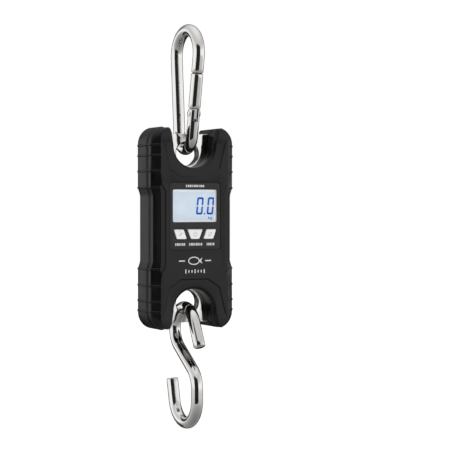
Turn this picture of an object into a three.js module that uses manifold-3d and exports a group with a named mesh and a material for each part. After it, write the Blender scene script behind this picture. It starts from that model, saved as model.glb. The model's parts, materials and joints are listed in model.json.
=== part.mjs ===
// A hanging digital scale: a two-shell plastic housing round a metal load plate, with a
// spring-gate carabiner in the plate's upper eye and an S-hook in its lower eye.
// Millimetres, +Z up. The front of the housing faces -Y, and X is the width.
// Shapes are drawn round the centre of the housing; the outermost group then moves them all
// so that the inside top of the carabiner, where the scale hangs, is the origin.

import * as THREE from 'three';
import { mergeVertices } from 'three/addons/utils/BufferGeometryUtils.js';
import Module from 'manifold-3d';

const wasm = await Module();
wasm.setup();

// ---------------------------------------------------------------- driving dimensions

const BODY = { width: 61.5, height: 136, depth: 29, corner: 13, chamferX: 5, chamferY: 3.7 };
const WALL = 2;
const PARTING_Y = -4;                 // the seam between the front and rear shells
const SEAM = 0.2;                     // the gap left at that seam
const WAIST = { inset: 1.7, straight: 21, taperEnd: 27 };
const RIB = { heights: [27, 38, 48.4, 56.2], thick: 1.6, proud: 0.5 };
const NOTCH = { centreZ: 55.25, radius: 14.75, mouthHalf: 16.75, wall: 1.8, flare: 2 };

const PLATE = { width: 41, height: 127, thick: 6, corner: 5, pocketHalf: 29.5, pocketDepth: 2.2 };
const NECK = { halfWidth: 14, halfHeight: 12, taperEnd: 18 };
const EYE = { z: 50, radius: 8, chamfer: 1.5 };
const PLATE_GAP = 0.4;

const WIRE = 4;                       // radius of the carabiner's and the hook's wire
const CARABINER = { foot: [-0.7, 62.5], footRadius: 9.3, crown: [-3.5, 116.5], crownRadius: 16.3 };
const GATE = { pivotZ: 76.3, length: 26.9, tongue: 1.25, slot: 1.6, opens: 28 };
const HOOK = {
  top: [0.5, -68.5],
  topRadius: 15,
  shoulder: [-1.8, -107],
  shoulderRadius: 15.5,
  bowl: [-0.3, -114.6],
  bowlRadius: 17,
};
const HOOK_ENDS = { topAngle: 154.2, topRun: 18.6, bowlAngle: -13.3, bowlRun: 15.2 };

const FASCIA = { halfWidth: 19, low: -14.2, high: 30.4, recess: 0.6, thick: 0.4 };
const WINDOW = { halfWidth: 16.2, low: 4.4, high: 25.6, thick: 1.2, gap: 0.2 };
const BUTTON = { top: -0.7, bottom: -7, proud: 0.6, flange: 1, gap: 0.25 };
const BOARD = { halfWidth: 25.5, low: -24, high: 34, front: -7.6, back: -6 };
const SWITCH_Z = -3.85;
const SIDE_BUTTON_X = 10.95;

const CELL = { radius: 5.25, length: 43.3, nub: 1.2, pitch: 11.2, y: 7.35, plusEnd: 25.4 };
const WELL = { halfWidth: 18.2, halfHeight: 27.2, floor: 2, wall: 1 };
const DOOR = { halfWidth: 19.6, low: -28.6, high: 29.6, thick: 1.5, gap: 0.4 };
const DOOR_TAB = { inner: 8, outer: 12, length: 1.8, low: 12.7, high: 13.7 };

const CASE_SCREW = { x: 25.3, z: 50, boss: 3.9, seat: 8, shank: 1.25, head: 2.5, reach: -10.5 };
const BOARD_SCREW = { x: 22.5, z: [30, -20], boss: 2.6, shank: 0.9, head: 1.8, reach: -11 };
const PLATE_SCREW = { z: 33, boss: 3, shank: 1.4, head: 2.6, reach: 9 };

const FRONT = -BODY.depth / 2;
const BACK = BODY.depth / 2;
const HALF_HEIGHT = BODY.height / 2;
const HALF_PLATE = PLATE.thick / 2;
const RAD = Math.PI / 180;

// ---------------------------------------------------------------- materials

const finish = (color, roughness, metalness = 0) => ({ color, roughness, metalness });
const BLACK_ABS = finish(0x2b2b2d, 0.5);
const FASCIA_FILM = finish(0x33342f, 0.65);
const CLEAR = finish(0xcfe2ea, 0.1);
const LCD_GLASS = finish(0xc6dbe4, 0.15);
const DIFFUSER = finish(0xe8f2ff, 0.4);
const SILVER_KEY = finish(0xe3e4e4, 0.4);
const BOARD_GREEN = finish(0x1f5a35, 0.55);
const BLACK_RESIN = finish(0x141414, 0.6);
const STAINLESS = finish(0xc9cbcd, 0.15, 1);
const PLATED = finish(0xb9bcc0, 0.3, 1);
const SPRING_STEEL = finish(0x9ea2a6, 0.25, 1);
const GAUGE_FOIL = finish(0xb98b3a, 0.45);
const CELL_SLEEVE = finish(0x3b5b8c, 0.4);
const RED_WIRE = finish(0xa8201c, 0.5);
const BLACK_WIRE = finish(0x1a1a1a, 0.5);
const RUBBER = finish(0x8b8f92, 0.8);

// ---------------------------------------------------------------- solids

// A closed three.js geometry as a manifold, with its shared vertices merged.
function solid(geometry) {
  const bare = geometry.clone();
  bare.deleteAttribute('normal');
  bare.deleteAttribute('uv');
  const merged = mergeVertices(bare, 1e-4);
  const kept = [];
  const index = merged.index.array;
  for (let i = 0; i < index.length; i += 3) {
    const [a, b, c] = [index[i], index[i + 1], index[i + 2]];
    if (a !== b && b !== c && c !== a) kept.push(a, b, c);
  }
  return new wasm.Manifold(new wasm.Mesh({
    numProp: 3,
    vertProperties: merged.attributes.position.array,
    triVerts: new Uint32Array(kept),
  }));
}

function geometryOf(manifold) {
  const mesh = manifold.getMesh();
  const geometry = new THREE.BufferGeometry();
  geometry.setAttribute('position', new THREE.BufferAttribute(mesh.vertProperties, 3));
  geometry.setIndex(new THREE.BufferAttribute(mesh.triVerts, 1));
  const flat = geometry.toNonIndexed();
  flat.computeVertexNormals();
  return flat;
}

const joined = (solids) => solids.reduce((sum, next) => sum.add(next));

function box(x, y, z) {
  const geometry = new THREE.BoxGeometry(x[1] - x[0], y[1] - y[0], z[1] - z[0]);
  geometry.translate((x[0] + x[1]) / 2, (y[0] + y[1]) / 2, (z[0] + z[1]) / 2);
  return solid(geometry);
}

// An outline drawn in X and Z, made solid from y[0] to y[1], with an optional edge chamfer.
function slab(shape, y, chamfer = null, curveSegments = 5) {
  const [bevelSize, bevelThickness] = chamfer ?? [0, 0];
  const geometry = new THREE.ExtrudeGeometry(shape, {
    depth: y[1] - y[0] - 2 * bevelThickness,
    bevelEnabled: chamfer !== null,
    bevelSize,
    bevelThickness,
    bevelOffset: -bevelSize,
    bevelSegments: 1,
    curveSegments,
  });
  geometry.rotateX(Math.PI / 2);
  geometry.translate(0, y[1] - bevelThickness, 0);
  return solid(geometry);
}

function rod(radius, x, z, y, sides = 10) {
  const geometry = new THREE.CylinderGeometry(radius, radius, y[1] - y[0], sides);
  geometry.translate(x, (y[0] + y[1]) / 2, z);
  return solid(geometry);
}

// A profile of [radius, height] pairs turned about the Y axis, then moved to x, z.
function turned(profile, x, z, sides = 16) {
  const points = profile.map(([radius, y]) => new THREE.Vector2(radius, y));
  const geometry = new THREE.LatheGeometry(points, sides);
  geometry.translate(x, 0, z);
  return solid(geometry);
}

function roundedRectangle(halfWidth, low, high, radius) {
  const shape = new THREE.Shape();
  shape.absarc(halfWidth - radius, high - radius, radius, 0, 90 * RAD);
  shape.absarc(-halfWidth + radius, high - radius, radius, 90 * RAD, 180 * RAD);
  shape.absarc(-halfWidth + radius, low + radius, radius, 180 * RAD, 270 * RAD);
  shape.absarc(halfWidth - radius, low + radius, radius, 270 * RAD, 360 * RAD);
  return shape;
}

// The corner points of a convex polygon, anticlockwise, moved outwards by a distance.
function grown(points, distance) {
  const edges = points.map((start, i) => {
    const end = points[(i + 1) % points.length];
    const along = new THREE.Vector2(end[0] - start[0], end[1] - start[1]).normalize();
    const outward = new THREE.Vector2(along.y, -along.x);
    const origin = new THREE.Vector2(...start).addScaledVector(outward, distance);
    return { origin, along };
  });
  return edges.map((edge, i) => {
    const before = edges[(i + edges.length - 1) % edges.length];
    const gap = edge.origin.clone().sub(before.origin);
    const run = gap.cross(edge.along) / before.along.cross(edge.along);
    return before.origin.clone().addScaledVector(before.along, run);
  });
}

// A wire's centre line: a flat path of lines and arcs in Y and Z, at x = 0.
class WirePath extends THREE.Curve {
  constructor(path) {
    super();
    this.path = path;
  }

  getPoint(t, target = new THREE.Vector3()) {
    const { x, y } = this.path.getPoint(t);
    return target.set(0, x, y);
  }
}

function circle(radius, sides) {
  const shape = new THREE.Shape();
  for (let i = 0; i < sides; i += 1) {
    const angle = (i / sides) * 2 * Math.PI;
    const point = [radius * Math.cos(angle), radius * Math.sin(angle)];
    if (i === 0) shape.moveTo(...point);
    else shape.lineTo(...point);
  }
  return shape;
}

function tube(path, radius, steps, sides) {
  return solid(new THREE.ExtrudeGeometry(circle(radius, sides), {
    steps,
    extrudePath: path,
    bevelEnabled: false,
  }));
}

// A coil spring about the Z axis, from z = 0 upwards.
function coil(radius, wire, turns, length) {
  const points = [];
  const perTurn = 8;
  for (let i = 0; i <= turns * perTurn; i += 1) {
    const angle = (i / perTurn) * 2 * Math.PI;
    const height = wire + ((length - 2 * wire) * i) / (turns * perTurn);
    points.push(new THREE.Vector3(radius * Math.cos(angle), radius * Math.sin(angle), height));
  }
  return tube(new THREE.CatmullRomCurve3(points), wire, turns * perTurn, 5);
}

// ---------------------------------------------------------------- the scene's groups

const part = new THREE.Group();
const hangingHeight = CARABINER.crown[1] + CARABINER.crownRadius - WIRE;
part.position.set(0, -CARABINER.crown[0], -hangingHeight);

function addNode(name, manifold, look, parent = part) {
  const mesh = new THREE.Mesh(geometryOf(manifold), new THREE.MeshStandardMaterial(look));
  mesh.name = name;
  parent.add(mesh);
  return mesh;
}

// ---------------------------------------------------------------- the housing's shells

function bodyOutline(inset = 0) {
  const w = BODY.width / 2 - inset;
  const h = HALF_HEIGHT - inset;
  const r = BODY.corner - inset;
  const shape = new THREE.Shape();
  shape.moveTo(w, -WAIST.taperEnd);
  shape.lineTo(w - WAIST.inset, -WAIST.straight);
  shape.lineTo(w - WAIST.inset, WAIST.straight);
  shape.lineTo(w, WAIST.taperEnd);
  shape.absarc(w - r, h - r, r, 0, 90 * RAD);
  shape.absarc(r - w, h - r, r, 90 * RAD, 180 * RAD);
  shape.lineTo(-w, WAIST.taperEnd);
  shape.lineTo(WAIST.inset - w, WAIST.straight);
  shape.lineTo(WAIST.inset - w, -WAIST.straight);
  shape.lineTo(-w, -WAIST.taperEnd);
  shape.absarc(r - w, r - h, r, 180 * RAD, 270 * RAD);
  shape.absarc(w - r, r - h, r, 270 * RAD, 360 * RAD);
  return shape;
}

function notchOutline(grow) {
  const beyond = HALF_HEIGHT + 4;
  const slope = (NOTCH.mouthHalf - NOTCH.radius) / (HALF_HEIGHT - NOTCH.centreZ);
  const r = NOTCH.radius + grow;
  const mouth = r + slope * (beyond - NOTCH.centreZ);
  const shape = new THREE.Shape();
  shape.absarc(0, NOTCH.centreZ, r, 180 * RAD, 360 * RAD);
  shape.lineTo(mouth, beyond);
  shape.lineTo(-mouth, beyond);
  return shape;
}

const upsideDown = (manifold) => manifold.rotate([0, 180, 0]);

// Both U notches, each right through the depth, with the front and back edges flared.
function notches(grow, flared) {
  const through = [FRONT - 3, BACK + 3];
  const parts = [slab(notchOutline(grow), through, null, 10)];
  if (flared) {
    const flare = [NOTCH.flare, NOTCH.flare];
    const wide = notchOutline(grow + NOTCH.flare);
    for (const face of [FRONT, BACK]) {
      parts.push(slab(wide, [face - NOTCH.flare, face + NOTCH.flare], flare, 10));
    }
  }
  const upper = joined(parts);
  return upper.add(upsideDown(upper));
}

// One grip rib: a thin slice of the housing, standing a little proud of its sides.
function rib(z) {
  const w = BODY.width / 2 + RIB.proud;
  const shoulder = BACK - BODY.chamferY;
  const face = w - BODY.chamferX;
  const shape = new THREE.Shape();
  shape.moveTo(w, -shoulder);
  shape.lineTo(w, shoulder);
  shape.lineTo(face, BACK);
  shape.lineTo(-face, BACK);
  shape.lineTo(-w, shoulder);
  shape.lineTo(-w, -shoulder);
  shape.lineTo(-face, FRONT);
  shape.lineTo(face, FRONT);
  const geometry = new THREE.ExtrudeGeometry(shape, { depth: RIB.thick, bevelEnabled: false });
  geometry.translate(0, 0, z - RIB.thick / 2);
  return solid(geometry);
}

const chamfer = [BODY.chamferX, BODY.chamferY];
const plainBody = slab(bodyOutline(), [FRONT, BACK], chamfer);
const ribs = joined(RIB.heights.flatMap((z) => [rib(z), rib(-z)]));
const outerBody = plainBody.add(ribs).subtract(notches(0, true));
const cavity = slab(bodyOutline(WALL), [FRONT + WALL, BACK - WALL], chamfer)
  .subtract(notches(NOTCH.wall, false));
const hollowBody = outerBody.subtract(cavity);

const fourCorners = [[1, 1], [-1, 1], [-1, -1], [1, -1]];
const caseScrewPlaces = fourCorners.map(([x, z]) => [x * CASE_SCREW.x, z * CASE_SCREW.z]);
const boardScrewPlaces = [1, -1].flatMap((side) => (
  BOARD_SCREW.z.map((z) => [side * BOARD_SCREW.x, z])
));
const plateScrewPlaces = [[0, PLATE_SCREW.z], [0, -PLATE_SCREW.z]];

const sideButton = [
  [8.6, BUTTON.top], [6.4, BUTTON.bottom], [13.5, BUTTON.bottom], [15.7, BUTTON.top],
];
const buttonOutlines = {
  button_left: sideButton.map(([x, z]) => [-x, z]).reverse(),
  button_centre: [[-5.6, BUTTON.top], [-3, BUTTON.bottom], [3, BUTTON.bottom], [5.6, BUTTON.top]],
  button_right: sideButton,
};

function buttonHoles(y) {
  return joined(Object.values(buttonOutlines).map((outline) => (
    slab(new THREE.Shape(grown(outline, BUTTON.gap)), y)
  )));
}

function windowHole(y) {
  const { halfWidth, low, high, gap } = WINDOW;
  return slab(roundedRectangle(halfWidth + gap, low - gap, high + gap, 1), y, null, 3);
}

function frontShell() {
  const { halfWidth, low, high, recess } = FASCIA;
  const frontHalf = box([-40, 40], [FRONT - 1, PARTING_Y], [-80, 80]);
  const post = PARTING_Y - FRONT;
  const casePosts = caseScrewPlaces.map(([x, z]) => (
    rod(CASE_SCREW.boss, x, z, [PARTING_Y - post, PARTING_Y])
  ));
  const boardPosts = boardScrewPlaces.map(([x, z]) => (
    rod(BOARD_SCREW.boss, x, z, [FRONT, BOARD.front - SEAM], 12)
  ));
  const pilots = [
    ...caseScrewPlaces.map(([x, z]) => (
      rod(CASE_SCREW.shank + 0.2, x, z, [CASE_SCREW.reach - 0.6, 0], 12)
    )),
    ...boardScrewPlaces.map(([x, z]) => (
      rod(BOARD_SCREW.shank + 0.2, x, z, [BOARD_SCREW.reach - 0.6, 0], 10)
    )),
  ];
  const through = [FRONT - 1, FRONT + WALL + 1];
  const seat = slab(roundedRectangle(halfWidth, low, high, 1.5), [FRONT - 1, FRONT + recess]);
  return hollowBody
    .intersect(frontHalf)
    .add(joined([...casePosts, ...boardPosts]).intersect(outerBody))
    .subtract(joined([...pilots, seat, buttonHoles(through), windowHole(through)]));
}

// The well that holds the cells, open at the back, and the recess for its door.
function batteryWell() {
  const { halfWidth, halfHeight, floor, wall } = WELL;
  const x = halfWidth + wall;
  const z = halfHeight + wall;
  const block = box([-x, x], [floor - 0.8, BACK - 1], [-z, z]);
  const hollow = box([-halfWidth, halfWidth], [floor, BACK + 1], [-halfHeight, halfHeight]);
  return { block, hollow };
}

function doorRecess() {
  const { halfWidth, low, high, thick, gap } = DOOR;
  const seat = BACK - thick - gap / 2;
  const opening = box([-halfWidth - gap, halfWidth + gap], [seat, BACK + 1],
    [low - gap, high + gap]);
  const tabSlots = [1, -1].map((side) => {
    const x = [side * DOOR_TAB.inner, side * DOOR_TAB.outer].sort((a, b) => a - b);
    const slotLow = low - gap - DOOR_TAB.length - 0.4;
    return box([x[0] - gap, x[1] + gap], [DOOR_TAB.low - 0.8, BACK - 0.6], [slotLow, low + 1.4]);
  });
  const thumbNotch = slab(roundedRectangle(6, high - 3, high + 4, 2), [seat, BACK + 1]);
  return joined([opening, thumbNotch, ...tabSlots]);
}

function rearShell() {
  const rearHalf = box([-40, 40], [PARTING_Y + SEAM, BACK + 1], [-80, 80]);
  const { block, hollow } = batteryWell();
  const casePosts = caseScrewPlaces.map(([x, z]) => (
    rod(CASE_SCREW.boss, x, z, [PARTING_Y + SEAM, BACK])
  ));
  const platePosts = plateScrewPlaces.map(([x, z]) => (
    rod(PLATE_SCREW.boss, x, z, [HALF_PLATE + SEAM, BACK - 1])
  ));
  const holes = [
    ...caseScrewPlaces.map(([x, z]) => rod(CASE_SCREW.shank + 0.25, x, z, [-9, BACK], 12)),
    ...caseScrewPlaces.map(([x, z]) => (
      rod(CASE_SCREW.head + 0.3, x, z, [CASE_SCREW.seat, BACK + 1])
    )),
    ...plateScrewPlaces.map(([x, z]) => (
      rod(PLATE_SCREW.shank + 0.2, x, z, [0, PLATE_SCREW.reach + 0.6], 12)
    )),
  ];
  const plateRoom = HALF_PLATE + PLATE_GAP;
  const plateSlot = slab(
    roundedRectangle(PLATE.width / 2 + PLATE_GAP, -PLATE.height / 2 - PLATE_GAP,
      PLATE.height / 2 + PLATE_GAP, PLATE.corner),
    [-plateRoom - 2, plateRoom],
  ).subtract(box([-30, 30], [WELL.floor - 0.9, 10], [-WELL.halfHeight - 2, WELL.halfHeight + 2]));
  return hollowBody
    .intersect(rearHalf)
    .add(joined([...casePosts, ...platePosts, block]).intersect(outerBody).intersect(rearHalf))
    .subtract(joined([...holes, hollow, plateSlot, doorRecess()]));
}

addNode('front_shell', frontShell(), BLACK_ABS);
addNode('rear_shell', rearShell(), BLACK_ABS);

// ---------------------------------------------------------------- fascia, window, buttons

function fascia() {
  const { halfWidth, low, high, recess, thick } = FASCIA;
  const edge = 0.15;
  const y = [FRONT + recess - thick - 0.1, FRONT + recess - 0.1];
  return slab(roundedRectangle(halfWidth - edge, low + edge, high - edge, 1.4), y)
    .subtract(buttonHoles([FRONT - 1, 0]))
    .subtract(windowHole([FRONT - 1, 0]));
}

addNode('fascia', fascia(), FASCIA_FILM);

const windowFront = FRONT + 0.1;
addNode('display_window', slab(
  roundedRectangle(WINDOW.halfWidth, WINDOW.low, WINDOW.high, 0.9),
  [windowFront, windowFront + WINDOW.thick],
  null,
  3,
), CLEAR);

// A button: its key reaches out through the fascia, and its flange stays inside the shell.
function button(outline) {
  const inner = FRONT + WALL + 0.1;
  const key = slab(new THREE.Shape(grown(outline, 0)), [FRONT - BUTTON.proud, inner + 0.5]);
  const flange = slab(new THREE.Shape(grown(outline, BUTTON.flange)), [inner, inner + 1.1]);
  return key.add(flange);
}

for (const [name, outline] of Object.entries(buttonOutlines)) {
  addNode(name, button(outline), SILVER_KEY);
}

// ---------------------------------------------------------------- display and board

const lcdBack = -10.3;
const lightBack = -7.8;
const glassTop = 30.8;
addNode('lcd_glass', box([-18.5, 18.5], [-12.3, lcdBack], [2, glassTop]), LCD_GLASS);
addNode('backlight', box([-18.5, 18.5], [lcdBack + 0.2, lightBack], [2.5, 27.5]), DIFFUSER);
addNode('lcd_connector', box([-17, 17], [lcdBack + 0.1, lightBack + 0.1], [28, 30.2]), RUBBER);

function circuitBoard() {
  const holes = boardScrewPlaces.map(([x, z]) => (
    rod(BOARD_SCREW.shank + 0.3, x, z, [BOARD.front - 1, BOARD.back + 1], 10)
  ));
  return slab(roundedRectangle(BOARD.halfWidth, BOARD.low, BOARD.high, 2),
    [BOARD.front, BOARD.back], null, 3).subtract(joined(holes));
}

addNode('circuit_board', circuitBoard(), BOARD_GREEN);
addNode('controller_chip', box([3, 12], [-5.8, -4.8], [4, 13]), BLACK_RESIN);

function tactSwitch(x) {
  const seat = BOARD.front - 0.2;
  return box([x - 2.6, x + 2.6], [seat - 2.1, seat], [SWITCH_Z - 2.6, SWITCH_Z + 2.6])
    .add(rod(1.6, x, SWITCH_Z, [seat - 2.8, seat - 1], 12));
}

addNode('switch_left', tactSwitch(-SIDE_BUTTON_X), BLACK_RESIN);
addNode('switch_centre', tactSwitch(0), BLACK_RESIN);
addNode('switch_right', tactSwitch(SIDE_BUTTON_X), BLACK_RESIN);

// ---------------------------------------------------------------- the load plate

// A hole through the plate whose two edges are broken by a chamfer.
function plateEye(z) {
  const beyond = HALF_PLATE + 1;
  const rim = EYE.radius + EYE.chamfer;
  return turned([
    [0, -beyond], [rim + 1, -beyond], [rim, -HALF_PLATE], [EYE.radius, EYE.chamfer - HALF_PLATE],
    [EYE.radius, HALF_PLATE - EYE.chamfer], [rim, HALF_PLATE], [rim + 1, beyond], [0, beyond],
  ], 0, z, 24);
}

function loadPlate() {
  const blank = slab(
    roundedRectangle(PLATE.width / 2, -PLATE.height / 2, PLATE.height / 2, PLATE.corner),
    [-HALF_PLATE, HALF_PLATE],
  );
  const pocket = box([-30, 30], [HALF_PLATE - PLATE.pocketDepth, 10],
    [-PLATE.pocketHalf, PLATE.pocketHalf]);
  const side = new THREE.Shape();
  side.moveTo(NECK.halfWidth, -NECK.halfHeight);
  side.lineTo(30, -NECK.taperEnd);
  side.lineTo(30, NECK.taperEnd);
  side.lineTo(NECK.halfWidth, NECK.halfHeight);
  const scallop = slab(side, [-10, 10]);
  const screwHoles = plateScrewPlaces.map(([x, z]) => (
    rod(PLATE_SCREW.shank + 0.3, x, z, [-10, 10], 12)
  ));
  return blank.subtract(joined([
    pocket, scallop, upsideDown(scallop), plateEye(EYE.z), plateEye(-EYE.z), ...screwHoles,
  ]));
}

addNode('load_plate', loadPlate(), STAINLESS);

for (const [i, x] of [-6, 6].entries()) {
  const gaugeBack = -HALF_PLATE - 0.1;
  const gauge = box([x - 2.5, x + 2.5], [gaugeBack - 0.25, gaugeBack], [-4, 4]);
  addNode(`strain_gauge_${i + 1}`, gauge, GAUGE_FOIL);
}

// ---------------------------------------------------------------- screws

// A pan-head screw along Y: its head starts at seat, and its shank reaches to reach.
function screw(size, seat, headSide, x, z) {
  const top = seat + headSide * size.headHeight;
  const profile = [
    [0, top], [size.head * 0.75, top], [size.head, top - headSide * 0.5], [size.head, seat],
    [size.shank, seat], [size.shank, size.reach - headSide * -0.6], [0, size.reach],
  ];
  const ordered = headSide > 0 ? profile.reverse() : profile;
  return turned(ordered, x, z, 12);
}

caseScrewPlaces.forEach(([x, z], i) => {
  const size = { ...CASE_SCREW, headHeight: 2 };
  addNode(`case_screw_${i + 1}`, screw(size, CASE_SCREW.seat + SEAM, 1, x, z), PLATED);
});
boardScrewPlaces.forEach(([x, z], i) => {
  const size = { ...BOARD_SCREW, headHeight: 1.2 };
  addNode(`board_screw_${i + 1}`, screw(size, BOARD.back + SEAM, 1, x, z), PLATED);
});
plateScrewPlaces.forEach(([x, z], i) => {
  const size = { ...PLATE_SCREW, headHeight: 1.8 };
  addNode(`plate_screw_${i + 1}`, screw(size, -HALF_PLATE - SEAM, -1, x, z), PLATED);
});

// ---------------------------------------------------------------- cells, contacts, door

// The cells stand side by side with their plus ends up, down and up.
const cells = [-1, 0, 1].map((slot) => ({ x: slot * CELL.pitch, up: slot === 0 ? -1 : 1 }));

function cell({ x, up }) {
  const shoulder = CELL.plusEnd - CELL.nub;
  const foot = shoulder - CELL.length;
  const profile = [
    [0, foot], [CELL.radius - 0.5, foot], [CELL.radius, foot + 0.5], [CELL.radius, shoulder - 0.5],
    [CELL.radius - 0.5, shoulder], [1.9, shoulder], [1.9, CELL.plusEnd], [0, CELL.plusEnd],
  ];
  const points = profile.map(([radius, y]) => new THREE.Vector2(radius, y));
  const geometry = new THREE.LatheGeometry(points, 20);
  geometry.rotateX(up * 90 * RAD);
  geometry.translate(x, CELL.y, 0);
  return solid(geometry);
}

function cellSpring({ x, up }) {
  const foot = CELL.plusEnd - CELL.nub - CELL.length;
  const seat = -WELL.halfHeight + 0.9;
  const spring = coil(2.6, 0.4, 3, foot - seat - 0.3);
  const standing = up > 0 ? spring : spring.rotate([180, 0, 0]);
  return standing.translate([x, CELL.y, up * seat]);
}

cells.forEach((place, i) => {
  addNode(`battery_${i + 1}`, cell(place), CELL_SLEEVE);
  addNode(`battery_spring_${i + 1}`, cellSpring(place), SPRING_STEEL);
});

// A flat contact against one end wall of the well, across one cell or two.
function contact(firstX, lastX, side) {
  const z = [WELL.halfHeight - 0.6, WELL.halfHeight - 0.2].map((height) => side * height);
  return box([firstX - 4.2, lastX + 4.2], [CELL.y - 4, CELL.y + 4], z.sort((a, b) => a - b));
}

addNode('contact_plus', contact(-CELL.pitch, -CELL.pitch, 1), PLATED);
addNode('contact_bridge_top', contact(0, CELL.pitch, 1), PLATED);
addNode('contact_bridge_bottom', contact(-CELL.pitch, 0, -1), PLATED);
addNode('contact_minus', contact(CELL.pitch, CELL.pitch, -1), PLATED);

function batteryDoor() {
  const { halfWidth, low, high, thick } = DOOR;
  const panel = box([-halfWidth, halfWidth], [BACK - thick, BACK], [low, high]);
  const tabs = [1, -1].map((side) => {
    const x = [side * DOOR_TAB.inner, side * DOOR_TAB.outer].sort((a, b) => a - b);
    return box(x, [DOOR_TAB.low, DOOR_TAB.high], [low - DOOR_TAB.length, low + 1]);
  });
  const latch = slab(roundedRectangle(5, high - 3, high + 2.4, 1.5), [BACK - thick, BACK - 0.5]);
  const grips = [0, 1, 2].map((row) => (
    box([-6, 6], [BACK - 0.5, BACK + 1], [high - 5 - 2.4 * row, high - 4 - 2.4 * row])
  ));
  return joined([panel, latch, ...tabs]).subtract(joined(grips));
}

addNode('battery_door', batteryDoor(), BLACK_ABS);

// ---------------------------------------------------------------- leads

function lead(points, radius) {
  const places = points.map((point) => new THREE.Vector3(...point));
  return tube(new THREE.CatmullRomCurve3(places), radius, 12, 8);
}

const besideWell = 23.6;
const batteryLead = (side) => [
  [side * 20.4, 6, side * 4], [side * 22, 5, side * 8], [side * besideWell, 1, side * 12],
  [side * besideWell, -3, side * 13], [side * 21, -4.9, side * 13.5],
];
addNode('battery_lead_red', lead(batteryLead(-1), 0.7), RED_WIRE);
addNode('battery_lead_black', lead(batteryLead(1), 0.7), BLACK_WIRE);
addNode('gauge_cable', lead(
  [[0, -3.9, -5], [0, -4.1, -9], [-3, -4.3, -14], [-8, -4.6, -17], [-14, -4.9, -18]],
  0.6,
), BLACK_WIRE);

// ---------------------------------------------------------------- the carabiner

// The outward unit normal of the carabiner's straight leg on one side, which touches both
// the small round foot and the larger round crown: side is -1 at the front, 1 at the back.
function legNormal(side) {
  const foot = new THREE.Vector2(...CARABINER.foot);
  const axis = new THREE.Vector2(...CARABINER.crown).sub(foot);
  const along = (CARABINER.footRadius - CARABINER.crownRadius) / axis.length();
  axis.normalize();
  const across = new THREE.Vector2(axis.y, -axis.x).multiplyScalar(side);
  return axis.multiplyScalar(along).addScaledVector(across, Math.sqrt(1 - along * along));
}

const frontNormal = legNormal(-1);
const backNormal = legNormal(1);
const gateDirection = new THREE.Vector2(frontNormal.y, -frontNormal.x);
const legFoot = new THREE.Vector2(...CARABINER.foot)
  .addScaledVector(frontNormal, CARABINER.footRadius);
const pivot = legFoot.clone()
  .addScaledVector(gateDirection, (GATE.pivotZ - legFoot.y) / gateDirection.y);
const legTilt = Math.atan2(-gateDirection.x, gateDirection.y);

// The gate and its bearing are drawn along Z from the pivot, then leaned like the leg.
const gateGroup = new THREE.Group();
gateGroup.position.set(0, pivot.x, pivot.y);
gateGroup.rotation.x = legTilt;
part.add(gateGroup);

const upLeg = (manifold) => manifold
  .rotate([legTilt / RAD, 0, 0])
  .translate([0, pivot.x, pivot.y]);

function along(radius, z, sides = 12) {
  const geometry = new THREE.CylinderGeometry(radius, radius, z[1] - z[0], sides);
  geometry.rotateX(Math.PI / 2);
  geometry.translate(0, 0, (z[0] + z[1]) / 2);
  return solid(geometry);
}

function across(radius, halfWidth, sides = 12) {
  const geometry = new THREE.CylinderGeometry(radius, radius, 2 * halfWidth, sides);
  geometry.rotateZ(Math.PI / 2);
  return solid(geometry);
}

const SHOULDER = 3.7;                 // the gate's round body starts this far above its pivot
const BORE = { radius: 2.2, floor: -14.5 };
const PLUNGER = { top: -3.5, radius: 1.9, head: 1.2, stem: 0.8, foot: -9, travel: 0.81 };

function carabinerFrame() {
  const frontAngle = Math.atan2(frontNormal.y, frontNormal.x);
  const backAngle = Math.atan2(backNormal.y, backNormal.x);
  const nose = pivot.clone().addScaledVector(gateDirection, GATE.length + 0.4);
  const bearing = pivot.clone().addScaledVector(gateDirection, SHOULDER - 0.4);
  const legTop = new THREE.Vector2(...CARABINER.crown)
    .addScaledVector(frontNormal, CARABINER.crownRadius);
  const path = new THREE.Path();
  path.moveTo(nose.x, nose.y);
  path.lineTo(legTop.x, legTop.y);
  path.absarc(...CARABINER.crown, CARABINER.crownRadius, frontAngle, backAngle, true);
  path.absarc(...CARABINER.foot, CARABINER.footRadius, backAngle, frontAngle, true);
  path.lineTo(bearing.x, bearing.y);
  const loop = tube(new WirePath(path), WIRE, 48, 12);
  const forkSlot = box([-GATE.slot, GATE.slot], [-6, 6], [-4.9, 8]);
  const bevelCut = box([-6, 6], [-6, 12], [SHOULDER - 0.4, 12]).rotate([-GATE.opens, 0, 0]);
  const bore = along(BORE.radius, [BORE.floor, PLUNGER.top + 0.4], 12);
  return loop
    .subtract(upLeg(joined([forkSlot, bevelCut, bore, across(1.75, 6)])));
}

function gateBody() {
  const barrel = along(WIRE, [SHOULDER, GATE.length]);
  const tongue = box([-GATE.tongue, GATE.tongue], [-2.4, 2.4], [-3.2, SHOULDER + 1]);
  return barrel.add(tongue).subtract(across(1.75, 3));
}

function plunger() {
  return along(PLUNGER.radius, [PLUNGER.top - PLUNGER.head, PLUNGER.top], 12)
    .add(along(PLUNGER.stem, [PLUNGER.foot, PLUNGER.top - 0.5], 10));
}

addNode('carabiner_frame', carabinerFrame(), STAINLESS);
addNode('carabiner_gate', gateBody(), STAINLESS, gateGroup);
addNode('gate_pin', across(1.45, WIRE + 0.3), STAINLESS, gateGroup);
addNode('gate_plunger', plunger(), PLATED, gateGroup);
const springTop = PLUNGER.top - PLUNGER.head - PLUNGER.travel - 0.25;
const springRoom = springTop - (BORE.floor + 0.2);
addNode('gate_spring', coil(1.5, 0.3, 5, springRoom).translate([0, 0, BORE.floor + 0.2]),
  SPRING_STEEL, gateGroup);

// ---------------------------------------------------------------- the S-hook

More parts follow.
